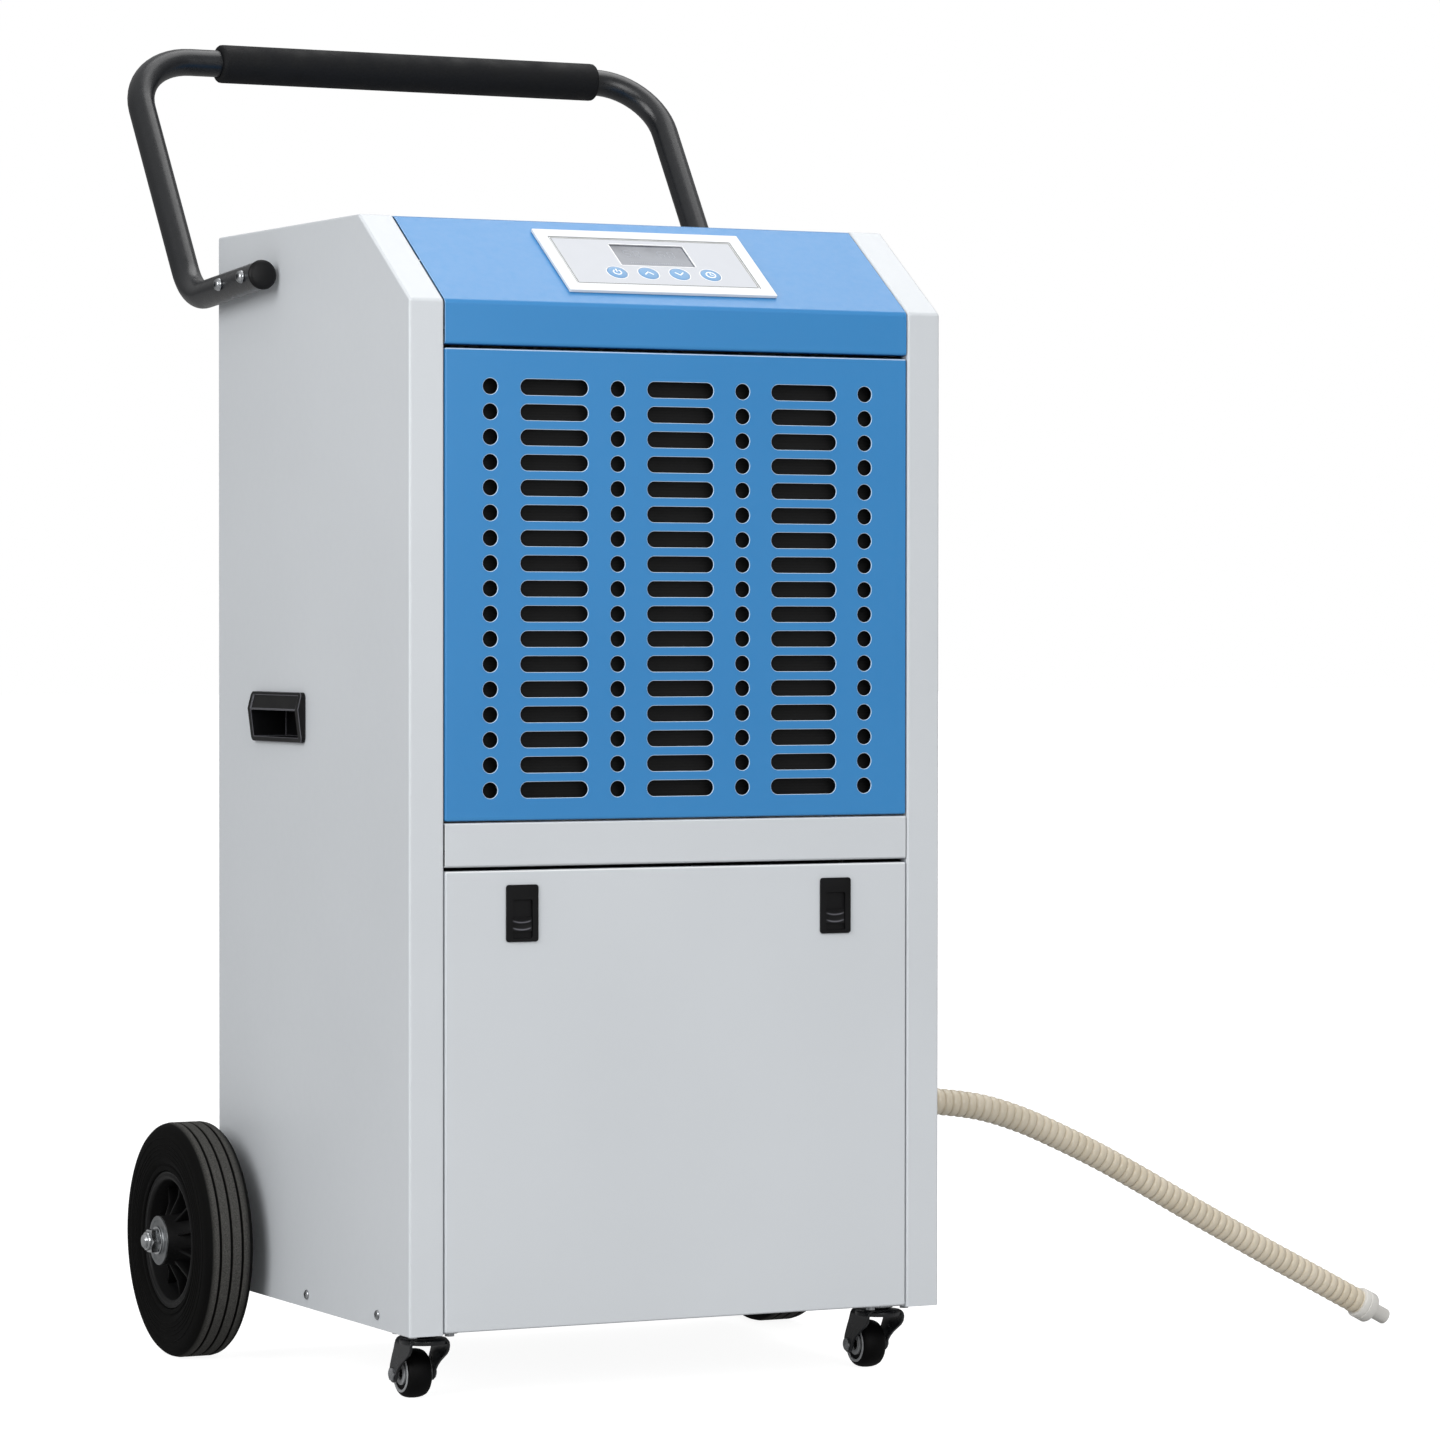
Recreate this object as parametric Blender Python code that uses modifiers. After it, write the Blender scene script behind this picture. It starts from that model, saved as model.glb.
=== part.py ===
"""Commercial cabinet dehumidifier on two rear wheels and two front casters, metres, +Z up, front towards -Y.

The cabinet is folded sheet steel: two side panels wrap round the front, top and back, and the covers sit between
them. The origin is on the floor, under the middle of the machine.
"""

import math

import bmesh
import bpy
from mathutils import Matrix, Vector

# Cabinet
CABINET_W = 0.480
FRONT_Y = -0.300
BACK_Y = 0.114
BASE_Z = 0.058
CREASE_Z = 0.884
TOP_Z = 0.958
SLOPE_RUN = 0.104
SHEET = 0.0012
STRIP_W = 0.030
FOLD = 0.0112
GAP = 0.0003
SEAM = 0.0015
INSET = 0.0005
FLOOR_Y = (-0.284, 0.1005)

# Front covers
FASCIA_Z = 0.849
GRILLE_Z = (0.4685, 0.8460)
BAR_Z = (0.4315, 0.4670)
DOOR_Z = (0.0595, 0.4285)
DOOR_HINGE = (-0.2955, 0.0640)
HINGE_PIN_R = 0.0018

# Air inlet holes
HOLE_ROWS = 17
HOLE_TOP_Z = 0.816
HOLE_PITCH = 0.0202
SLOT_COLUMNS = (-0.113, 0.0, 0.113)
SLOT_W = 0.060
SLOT_H = 0.013
ROUND_COLUMNS = (-0.1695, -0.0565, 0.0565, 0.1695)
ROUND_D = 0.012

# Air outlet slots in the back
OUTLET_ROWS = 12
OUTLET_COLUMNS = (-0.10, 0.0, 0.10)
OUTLET_PITCH = 0.022
OUTLET_SLOT = (0.080, 0.010, 0.008)
GLAND_AT = (-0.150, 0.150)
GLAND_R = 0.0080

# Control plate, in the plane of the slope: +Y runs up the slope from the crease, +Z points out of it
PLATE_SIZE = (0.188, 0.093, 0.0025)
PLATE_CENTRE = (0.001, 0.064)
PLATE_OPENING = ((-0.080, 0.026), (0.080, 0.104))
BOARD = ((-0.075, 0.030, -0.0110), (0.075, 0.100, -0.0094))
WINDOW_SIZE = (0.067, 0.032)
WINDOW_CENTRE = (0.003, 0.075)
BUTTON_NAMES = ("power_button", "up_button", "down_button", "timer_button")
BUTTON_FIRST_X = -0.0395
BUTTON_PITCH = 0.02835
BUTTON_UP = 0.047
BUTTON_R = 0.00875
BUTTON_RUN = 0.0003

# Door latches
LATCH_X = 0.142
LATCH_Z = 0.394
LATCH_SIZE = (0.0285, 0.046)
LATCH_PAD = (0.017, 0.011)
LATCH_PAD_DROP = 0.009

# Side grips
GRIP_Y = -0.028
GRIP_Z = 0.548
GRIP_SIZE = (0.112, 0.042)

# Handle
TUBE_R = 0.012
HANDLE_X = 0.2555
HANDLE_TOP_X = 0.2565
HANDLE_END = (-0.026, 0.9178)
HANDLE_LOW = (0.134, 0.906)
HANDLE_TOP = (0.287, 1.126)
LOW_BEND_R = 0.055
TOP_BEND_R = 0.057
FOAM_R = 0.017
FOAM_X = (-0.172, 0.198)
BOLT_Y = (-0.010, 0.041)
BOLT_R = 0.0032
BOLT_L = 0.0345

# Rear wheels
WHEEL_R = 0.100
WHEEL_X = 0.278
WHEEL_Y = 0.086
TYRE_HALF_W = 0.022
TYRE_STEPS = 32
AXLE_R = 0.006
AXLE_END_X = 0.320

# Front casters
CASTER_X = 0.208
CASTER_Y = -0.254
CASTER_TRAIL = 0.022
CASTER_R = 0.020
CASTER_HALF_W = 0.0105
CASTER_STEPS = 20

# Inside
SHELF_Z = 0.441
FILTER_X = 0.205
FILTER_Y = (-0.2865, -0.2815)
COIL_X = 0.190
COIL_Z = (0.4745, 0.830)
EVAPORATOR_Y = (-0.2780, -0.2380)
CONDENSER_Y = (-0.2340, -0.1840)
TRAY_X = 0.215
TRAY_Y = (-0.2840, -0.1770)
TRAY_Z = (0.4450, 0.4690)
SHROUD_Y = -0.1760
SHROUD_L = 0.070
SHROUD_TOP_Z = 0.868
STRAP_Y = (-0.1180, -0.1160)
FAN_Z = 0.655
FAN_R = 0.148
FAN_HUB_R = 0.044
MOTOR_R = 0.048
MOTOR_L = 0.112
SHAFT_R = 0.0040
SHAFT_L = 0.042
COMPRESSOR_AT = (-0.060, -0.005)
PIPE_R = 0.0050
PIPE_X = -0.2235
PIPE_Y = 0.055
DRAIN_X = 0.200
TANK_X = 0.170
TANK_Y = (-0.2800, -0.1150)
TANK_H = 0.185

# Drain hose: the points of its route, and its end connector
HOSE_R = 0.0115
HOSE_Y = -0.190
HOSE_ROUTE = (
    (0.2446, 0.2190), (0.2720, 0.2188), (0.3000, 0.2170), (0.3420, 0.2105), (0.3820, 0.1982),
    (0.4220, 0.1812), (0.4635, 0.1615), (0.5090, 0.1375), (0.5510, 0.1145), (0.5935, 0.0918),
    (0.6350, 0.0698), (0.6780, 0.0478), (0.7278, 0.0220),
)
HOSE_STEPS = 2
COLLAR_R = 0.0138
COLLAR_L = 0.0145
SPIGOT_R = 0.0070
SPIGOT_L = 0.0188

COLOURS = {
    "white_steel": ((0.62, 0.65, 0.67), 0.45, 0.0),
    "blue_steel": ((0.06, 0.24, 0.56), 0.40, 0.0),
    "grey_steel": ((0.35, 0.36, 0.37), 0.45, 0.8),
    "zinc": ((0.70, 0.70, 0.70), 0.30, 1.0),
    "black_plastic": ((0.012, 0.012, 0.013), 0.45, 0.0),
    "black_steel": ((0.015, 0.015, 0.017), 0.35, 0.0),
    "foam": ((0.010, 0.010, 0.010), 0.95, 0.0),
    "rubber": ((0.018, 0.018, 0.018), 0.80, 0.0),
    "plate": ((0.80, 0.81, 0.82), 0.40, 0.0),
    "display": ((0.10, 0.12, 0.16), 0.15, 0.0),
    "button": ((0.20, 0.42, 0.75), 0.40, 0.0),
    "board": ((0.02, 0.18, 0.06), 0.50, 0.0),
    "fins": ((0.60, 0.61, 0.62), 0.40, 1.0),
    "copper": ((0.75, 0.36, 0.20), 0.30, 1.0),
    "white_plastic": ((0.72, 0.72, 0.70), 0.45, 0.0),
    "hose": ((0.72, 0.63, 0.50), 0.60, 0.0),
}

for old in list(bpy.data.objects):
    bpy.data.objects.remove(old, do_unlink=True)

parts = bpy.data.collections.new("dehumidifier")
cutters = bpy.data.collections.new("cutters")
for collection in (parts, cutters):
    bpy.context.scene.collection.children.link(collection)


def material(key):
    """The Principled material of one finish, made once."""
    found = bpy.data.materials.get(key)
    if found:
        return found
    colour, roughness, metallic = COLOURS[key]
    made = bpy.data.materials.new(key)
    made.use_nodes = True
    shader = made.node_tree.nodes["Principled BSDF"]
    shader.inputs["Base Color"].default_value = (*colour, 1.0)
    shader.inputs["Roughness"].default_value = roughness
    shader.inputs["Metallic"].default_value = metallic
    return made


def add_object(name, mesh, finish, at=(0, 0, 0), turn=None, parent=None):
    """Puts a mesh in the scene: a part if it has a finish, or a hidden cutter."""
    obj = bpy.data.objects.new(name, mesh)
    obj.location = at
    if turn is not None:
        obj.rotation_euler = turn.to_euler()
    obj.parent = parent
    if finish is None:
        cutters.objects.link(obj)
        obj.hide_render = True
        obj.display_type = "WIRE"
    else:
        mesh.materials.append(material(finish))
        parts.objects.link(obj)
    return obj


def mesh_of(name, bm):
    """A mesh of a closed shape, its faces turned outwards."""
    mesh = bpy.data.meshes.new(name)
    bmesh.ops.recalc_face_normals(bm, faces=bm.faces)
    bm.to_mesh(mesh)
    bm.free()
    return mesh


def box(name, low, high, finish, parent=None, bevel=0.0):
    """A box between two corners, with its origin at its middle."""
    size = [b - a for a, b in zip(low, high)]
    bm = bmesh.new()
    bmesh.ops.create_cube(bm, size=1.0)
    bmesh.ops.scale(bm, vec=size, verts=bm.verts)
    middle = [(a + b) / 2 for a, b in zip(low, high)]
    obj = add_object(name, mesh_of(name, bm), finish, middle, parent=parent)
    if bevel:
        edge = obj.modifiers.new("rounded", "BEVEL")
        edge.width = bevel
        edge.segments = 2
    return obj


def open_box(name, low, high, finish, side, thickness=SHEET):
    """A folded pan: a box of sheet whose face towards one side is left off."""
    size = [b - a for a, b in zip(low, high)]
    bm = bmesh.new()
    bmesh.ops.create_cube(bm, size=1.0)
    bmesh.ops.scale(bm, vec=size, verts=bm.verts)
    left_off = [face for face in bm.faces if face.normal.dot(Vector(side)) > 0.9]
    bmesh.ops.delete(bm, geom=left_off, context="FACES")
    mesh = bpy.data.meshes.new(name)
    bm.to_mesh(mesh)
    bm.free()
    obj = add_object(name, mesh, finish, [(a + b) / 2 for a, b in zip(low, high)])
    add_wall(obj, thickness)
    return obj


def add_wall(obj, thickness=SHEET):
    """Gives an open surface its thickness, inwards."""
    wall = obj.modifiers.new("sheet", "SOLIDIFY")
    wall.thickness = thickness
    wall.offset = -1.0
    wall.use_even_offset = True


def folded_sheet(name, path, half_width, finish):
    """A sheet folded along X: the path gives its (y, z) section, with the outside on its left."""
    bm = bmesh.new()
    rows = [[bm.verts.new((x, y, z)) for x in (-half_width, half_width)] for y, z in path]
    for low, high in zip(rows, rows[1:]):
        bm.faces.new((low[0], low[1], high[1], high[0]))
    mesh = bpy.data.meshes.new(name)
    bm.to_mesh(mesh)
    bm.free()
    obj = add_object(name, mesh, finish)
    add_wall(obj)
    return obj


def prism(name, outline, half_length, finish, at=(0, 0, 0), along="x"):
    """An outline made solid along X, from (y, z) points, or along Y, from (x, z) points."""
    bm = bmesh.new()
    if along == "x":
        near = [(-half_length, a, b) for a, b in outline]
        step = (2 * half_length, 0, 0)
    else:
        near = [(a, -half_length, b) for a, b in outline]
        step = (0, 2 * half_length, 0)
    face = bm.faces.new([bm.verts.new(point) for point in near])
    grown = bmesh.ops.extrude_face_region(bm, geom=[face])["geom"]
    bmesh.ops.translate(bm, vec=step, verts=[v for v in grown if isinstance(v, bmesh.types.BMVert)])
    return add_object(name, mesh_of(name, bm), finish, at)


TURN_TO = {
    "x": Matrix.Rotation(math.pi / 2, 4, "Y"),
    "-x": Matrix.Rotation(-math.pi / 2, 4, "Y"),
    "y": Matrix.Rotation(-math.pi / 2, 4, "X"),
    "-y": Matrix.Rotation(math.pi / 2, 4, "X"),
    "z": Matrix.Identity(4),
}


def cylinder(name, radius, length, at, axis, finish, segments=16, parent=None):
    """A cylinder centred on a point, along one axis, standing on a flat of its side."""
    bm = bmesh.new()
    bmesh.ops.create_cone(bm, cap_ends=True, segments=segments, radius1=radius, radius2=radius, depth=length)
    bmesh.ops.rotate(bm, verts=bm.verts, cent=(0, 0, 0), matrix=Matrix.Rotation(math.pi / segments, 3, "Z"))
    return add_object(name, mesh_of(name, bm), finish, at, TURN_TO[axis], parent)


def turned(name, profile, at, turn, finish, steps=24, ring=False, parent=None):
    """A (radius, height) profile turned about its own Z. A ring's profile closes on itself."""
    mesh = bpy.data.meshes.new(name)
    edges = [(i, i + 1) for i in range(len(profile) - 1)]
    if ring:
        edges.append((len(profile) - 1, 0))
    mesh.from_pydata([(r, 0, z) for r, z in profile], edges, [])
    flat_down = turn @ Matrix.Rotation(math.pi / steps, 4, "Z")
    obj = add_object(name, mesh, finish, at, flat_down, parent)
    screw = obj.modifiers.new("turned", "SCREW")
    screw.steps = steps
    screw.render_steps = steps
    screw.use_merge_vertices = True
    screw.merge_threshold = 0.00002
    return obj


def flat_radius(radius, steps):
    """The corner radius of a polygon whose flats are this far from its middle."""
    return radius / math.cos(math.pi / steps)


def cut(obj, cutter, operation="DIFFERENCE"):
    """Takes the cutter's volume away from a part, or adds it."""
    step = obj.modifiers.new(cutter.name, "BOOLEAN")
    step.operation = operation
    step.object = cutter
    step.solver = "EXACT"


def join(obj, other):
    cut(obj, other, "UNION")


def rounded_route(points, radii, steps=5):
    """Straight runs between the points, with an arc of the given radius at each inner one."""
    route = [Vector(points[0])]
    for before, corner, after, radius in zip(points, points[1:], points[2:], radii):
        corner = Vector(corner)
        back = (Vector(before) - corner).normalized()
        ahead = (Vector(after) - corner).normalized()
        half = back.angle(ahead) / 2
        reach = radius / math.tan(half)
        middle = corner + (back + ahead).normalized() * radius / math.sin(half)
        start = corner + back * reach - middle
        normal = start.cross(corner + ahead * reach - middle).normalized()
        sweep = math.pi - 2 * half
        for i in range(steps + 1):
            route.append(middle + Matrix.Rotation(sweep * i / steps, 3, normal) @ start)
    route.append(Vector(points[-1]))
    return route


def smooth_route(points, steps):
    """A smooth curve through the points (Catmull-Rom), with a number of steps for each span."""
    ends = [2 * points[0] - points[1], *points, 2 * points[-1] - points[-2]]
    route = []
    for a, b, c, d in zip(ends, ends[1:], ends[2:], ends[3:]):
        for i in range(steps):
            t = i / steps
            route.append(
                0.5 * (2 * b + (c - a) * t + (2 * a - 5 * b + 4 * c - d) * t**2 + (3 * b - a - 3 * c + d) * t**3)
            )
    route.append(points[-1])
    return route


def tube(name, route, radius, finish, resolution=2):
    """A solid round bar along a route, which as_mesh makes ready to be cut."""
    curve = bpy.data.curves.new(name, "CURVE")
    curve.dimensions = "3D"
    curve.bevel_depth = radius
    curve.bevel_resolution = resolution
    curve.use_fill_caps = True
    spline = curve.splines.new("POLY")
    spline.points.add(len(route) - 1)
    for point, place in zip(spline.points, route):
        point.co = (*place, 1.0)
    return add_object(name, curve, finish)


def as_mesh(obj):
    """Turns a curve object into a closed mesh object of the same name, so that it can be cut."""
    name = obj.name
    evaluated = obj.evaluated_get(bpy.context.evaluated_depsgraph_get())
    mesh = bpy.data.meshes.new_from_object(evaluated)
    bm = bmesh.new()
    bm.from_mesh(mesh)
    bmesh.ops.remove_doubles(bm, verts=bm.verts, dist=0.00001)
    bm.to_mesh(mesh)
    bm.free()
    place = obj.matrix_world.copy()
    bpy.data.objects.remove(obj)
    made = bpy.data.objects.new(name, mesh)
    made.matrix_world = place
    parts.objects.link(made)
    return made


def mirrored(points, side):
    """Points given for the +X side, on the side asked for."""
    return [(x * side, y, z) for x, y, z in points]


SIDES = (("left", -1), ("right", 1))
SLOPE_TOP_Y = FRONT_Y + SLOPE_RUN
SLOPE_ANGLE = math.atan2(TOP_Z - CREASE_Z, SLOPE_RUN)
PANEL_X = CABINET_W / 2
STRIP_X = PANEL_X - STRIP_W
COVER_X = STRIP_X - SEAM
INNER_X = PANEL_X - SHEET - GAP


def bolt_z(y):
    """The height of the handle's lower run at this depth."""
    fall = (HANDLE_END[1] - HANDLE_LOW[1]) / (HANDLE_LOW[0] - HANDLE_END[0])
    return HANDLE_END[1] - (y - HANDLE_END[0]) * fall


def make_side_panel(label, side):
    """A side sheet with a strip folded round the front, slope, top and back, and a second fold inwards."""
    outline = [(FRONT_Y, BASE_Z), (FRONT_Y, CREASE_Z), (SLOPE_TOP_Y, TOP_Z), (BACK_Y, TOP_Z), (BACK_Y, BASE_Z)]
    crease_in = FOLD * math.tan(SLOPE_ANGLE / 2 - math.pi / 4)
    slope_in = FOLD * math.tan(SLOPE_ANGLE / 2)
    inner = [
        (FRONT_Y + FOLD, BASE_Z),
        (FRONT_Y + FOLD, CREASE_Z + crease_in),
        (SLOPE_TOP_Y + slope_in, TOP_Z - FOLD),
        (BACK_Y - FOLD, TOP_Z - FOLD),
        (BACK_Y - FOLD, BASE_Z),
    ]
    bm = bmesh.new()
    rows = [
        [bm.verts.new((side * x, y, z)) for y, z in path]
        for x, path in ((PANEL_X, outline), (STRIP_X, outline), (STRIP_X, inner))
    ]
    faces = [rows[0]]
    for near, far in zip(rows, rows[1:]):
        faces += [(near[i + 1], near[i], far[i], far[i + 1]) for i in range(len(outline) - 1)]
    for face in faces:
        bm.faces.new(face if side < 0 else face[::-1])
    mesh = bpy.data.meshes.new(label)
    bm.to_mesh(mesh)
    bm.free()
    panel = add_object(f"{label}_side_panel", mesh, "white_steel")
    add_wall(panel)

    x = side * PANEL_X
    for i, y in enumerate(BOLT_Y):
        cut(panel, cylinder(f"{label}_bolt_hole_{i}", BOLT_R + 0.0004, 0.02, (x, y, bolt_z(y)), "x", None, 10))
    cut(panel, cylinder(f"{label}_axle_hole", AXLE_R + 0.0006, 0.02, (x, WHEEL_Y, WHEEL_R), "x", None, 12))
    hinge_y, hinge_z = DOOR_HINGE
    pin_place = (side * STRIP_X, hinge_y, hinge_z)
    cut(panel, cylinder(f"{label}_hinge_hole", HINGE_PIN_R + 0.0005, 0.01, pin_place, "x", None, 10))
    half_y, half_z = GRIP_SIZE[0] / 2 - 0.0036, GRIP_SIZE[1] / 2 - 0.0022
    cut(panel, box(
        f"{label}_grip_hole",
        (x - 0.01, GRIP_Y - half_y, GRIP_Z - half_z),
        (x + 0.01, GRIP_Y + half_y, GRIP_Z + half_z),
        None,
    ))
    if side > 0:
        hose_z = HOSE_ROUTE[0][1]
        cut(panel, cylinder("drain_hole", 0.0106, 0.02, (x, HOSE_Y, hose_z), "x", None, 12))


def make_cabinet():
    open_box(
        "base_pan",
        (-INNER_X, FLOOR_Y[0], BASE_Z),
        (INNER_X, FLOOR_Y[1], BASE_Z + 0.015),
        "grey_steel",
        (0, 0, 1),
    )
    for label, side in SIDES:
        make_side_panel(label, side)

    back = open_box(
        "back_panel",
        (-COVER_X, BACK_Y - 0.0125, BASE_Z + 0.0015),
        (COVER_X, BACK_Y - INSET, TOP_Z - 0.015),
        "white_steel",
        (0, -1, 0),
    )
    bm = bmesh.new()
    first_z = FAN_Z - OUTLET_PITCH * (OUTLET_ROWS - 1) / 2
    for row in range(OUTLET_ROWS):
        for x in OUTLET_COLUMNS:
            slot = bmesh.ops.create_cube(bm, size=1.0)["verts"]
            bmesh.ops.scale(bm, vec=OUTLET_SLOT, verts=slot)
            bmesh.ops.translate(bm, vec=(x, BACK_Y, first_z + row * OUTLET_PITCH), verts=slot)
    cut(back, add_object("outlet_slots", mesh_of("outlet_slots", bm), None))
    gland_x, gland_z = GLAND_AT
    cut(back, cylinder("gland_hole", GLAND_R + GAP, 0.02, (gland_x, BACK_Y, gland_z), "y", None, 12))
    cylinder("cable_gland", GLAND_R, 0.030, (gland_x, BACK_Y - INSET, gland_z), "y", "black_plastic", 12)

    front_y = FRONT_Y + INSET
    lift = INSET / math.cos(SLOPE_ANGLE)
    top_path = [
        (front_y + 0.0115, FASCIA_Z),
        (front_y, FASCIA_Z),
        (front_y, CREASE_Z - lift + INSET * math.tan(SLOPE_ANGLE)),
        (SLOPE_TOP_Y + INSET * math.tan(SLOPE_ANGLE / 2), TOP_Z - INSET),
        (BACK_Y - INSET, TOP_Z - INSET),
        (BACK_Y - INSET, TOP_Z - 0.0135),
    ]
    cover = folded_sheet("top_cover", top_path, COVER_X, "blue_steel")
    low, high = PLATE_OPENING
    cut(cover, box("plate_opening", (*low, -0.01), (*high, 0.01), None, slope))

    grille = open_box(
        "grille_panel",
        (-COVER_X, front_y, GRILLE_Z[0]),
        (COVER_X, front_y + 0.0105, GRILLE_Z[1]),
        "blue_steel",
        (0, 1, 0),
    )
    cut(grille, inlet_holes())

    low, high = BAR_Z
    bar_path = [(front_y + 0.0105, low), (front_y, low), (front_y, high), (front_y + 0.0105, high)]
    folded_sheet("crossbar", bar_path, COVER_X, "white_steel")
    box(
        "air_filter",
        (-FILTER_X, FILTER_Y[0], GRILLE_Z[0] + 0.004),
        (FILTER_X, FILTER_Y[1], GRILLE_Z[1] - 0.004),
        "black_plastic",
    )


def inlet_holes():
    """One cutter for all the inlet holes: eight-sided prisms, stretched into slots in three of the columns."""
    bm = bmesh.new()
    turn = Matrix.Rotation(math.pi / 2, 3, "X") @ Matrix.Rotation(math.pi / 8, 3, "Z")
    columns = [(x, SLOT_H, SLOT_W) for x in SLOT_COLUMNS] + [(x, ROUND_D, ROUND_D) for x in ROUND_COLUMNS]
    for row in range(HOLE_ROWS):
        z = HOLE_TOP_Z - row * HOLE_PITCH
        for x, height, width in columns:
            radius = flat_radius(height / 2, 8)
            made = bmesh.ops.create_cone(
                bm, cap_ends=True, segments=8, radius1=radius, radius2=radius, depth=0.008
            )
            bmesh.ops.rotate(bm, verts=made["verts"], cent=(0, 0, 0), matrix=turn)
            for vert in made["verts"]:
                vert.co.x += math.copysign((width - height) / 2, vert.co.x)
            bmesh.ops.translate(bm, vec=(x, FRONT_Y + INSET, z), verts=made["verts"])
    return add_object("inlet_holes", mesh_of("inlet_holes", bm), None)


def make_controls():
    """The plate, window, board and buttons, all in the plane of the slope."""
    (px, py), (sx, sy, sz) = PLATE_CENTRE, PLATE_SIZE
    base = GAP - INSET
    plate = box(
        "control_plate",
        (px - sx / 2, py - sy / 2, base),
        (px + sx / 2, py + sy / 2, base + sz),
        "plate",
        slope,
    )
    (wx, wy), (ww, wh) = WINDOW_CENTRE, WINDOW_SIZE
    rim = 0.0003
    cut(plate, box(
        "window_opening",
        (wx - ww / 2 - rim, wy - wh / 2 - rim, -0.01),
        (wx + ww / 2 + rim, wy + wh / 2 + rim, 0.01),
        None,
        slope,
    ))
    box(
        "display_window",
        (wx - ww / 2, wy - wh / 2, base - 0.0005),
        (wx + ww / 2, wy + wh / 2, base + sz - 0.0007),
        "display",
        slope,
    )
    box("control_board", *BOARD, "board", slope)
    for i, name in enumerate(BUTTON_NAMES):
        at = (BUTTON_FIRST_X + i * BUTTON_PITCH, BUTTON_UP, base + 0.0008)
        cut(plate, cylinder(f"{name}_hole", BUTTON_R + BUTTON_RUN, 0.02, at, "z", None, 20, slope))
        cylinder(name, BUTTON_R, 0.0040, at, "z", "button", 20, slope)


def make_door():
    """The lower door, hung on two pins at its bottom corners, with a slide latch near each top corner."""
    door = open_box(
        "lower_door",
        (-COVER_X, FRONT_Y, DOOR_Z[0]),
        (COVER_X, FRONT_Y + 0.0120, DOOR_Z[1]),
        "white_steel",
        (0, 1, 0),
    )
    hinge_y, hinge_z = DOOR_HINGE
    for label, side in SIDES:
        pin_x = side * (COVER_X + 0.0017)
        join(door, cylinder(f"{label}_hinge_pin", HINGE_PIN_R, 0.0046, (pin_x, hinge_y, hinge_z), "x", None, 10))

        x = side * LATCH_X
        half_w, half_h = LATCH_SIZE[0] / 2, LATCH_SIZE[1] / 2
        front, face, back = FRONT_Y - 0.0018, FRONT_Y - GAP, FRONT_Y + 0.0125
        cut(door, box(
            f"{label}_latch_opening",
            (x - half_w + 0.0012, FRONT_Y - 0.01, LATCH_Z - half_h + 0.0012),
            (x + half_w - 0.0012, FRONT_Y + 0.008, LATCH_Z + half_h - 0.0012),
            None,
        ))
        housing = box(
            f"{label}_latch_housing",
            (x - half_w, front, LATCH_Z - half_h),
            (x + half_w, face, LATCH_Z + half_h),
            "black_plastic",
        )
        join(housing, box(
            f"{label}_latch_body",
            (x - half_w + 0.0015, face - 0.0005, LATCH_Z - half_h + 0.0015),
            (x + half_w - 0.0015, back, LATCH_Z + half_h - 0.0015),
            None,
        ))
        pad_w, pad_h = LATCH_PAD[0] / 2, LATCH_PAD[1] / 2
        pad_z = LATCH_Z - LATCH_PAD_DROP
        cut(housing, box(
            f"{label}_latch_pocket",
            (x - pad_w - 0.0004, front - 0.005, LATCH_Z - 0.0205),
            (x + pad_w + 0.0004, front + 0.0090, LATCH_Z + 0.0110),
            None,
        ))
        box(
            f"{label}_latch_slider",
            (x - pad_w, front + 0.0010, pad_z - pad_h),
            (x + pad_w, front + 0.0086, pad_z + pad_h),
            "black_plastic",
            bevel=0.001,
        )


def make_grip(label, side):
    """A recessed grip: a rim with a ridge, and a finger pocket behind the ridge, open below it."""
    def section(points):
        return [(side * (PANEL_X + out), GRIP_Z + up) for out, up in points]

    half_y, half_z = GRIP_SIZE[0] / 2, GRIP_SIZE[1] / 2
    wall = 0.0040
    depth = 0.0280
    rim = section([(GAP, -half_z), (0.0039, -half_z), (0.0075, 0.0067), (0.0039, half_z), (GAP, half_z)])
    body_z = half_z - 0.0026
    body = section([(0.0010, -body_z), (0.0010, body_z), (-depth, body_z), (-depth, -body_z)])
    pocket = section([
        (0.0200, -0.0160), (0.0200, 0.0052), (0.0054, 0.0052),
        (0.0022, 0.0166), (-0.0250, 0.0166), (-0.0250, -0.0160),
    ])
    cup = prism(f"{label}_grip_cup", rim, half_y, "black_plastic", (0, GRIP_Y, 0), "y")
    join(cup, prism(f"{label}_grip_body", body, half_y - wall, None, (0, GRIP_Y, 0), "y"))
    cut(cup, prism(f"{label}_grip_pocket", pocket, half_y - wall - 0.0025, None, (0, GRIP_Y, 0), "y"))


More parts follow.
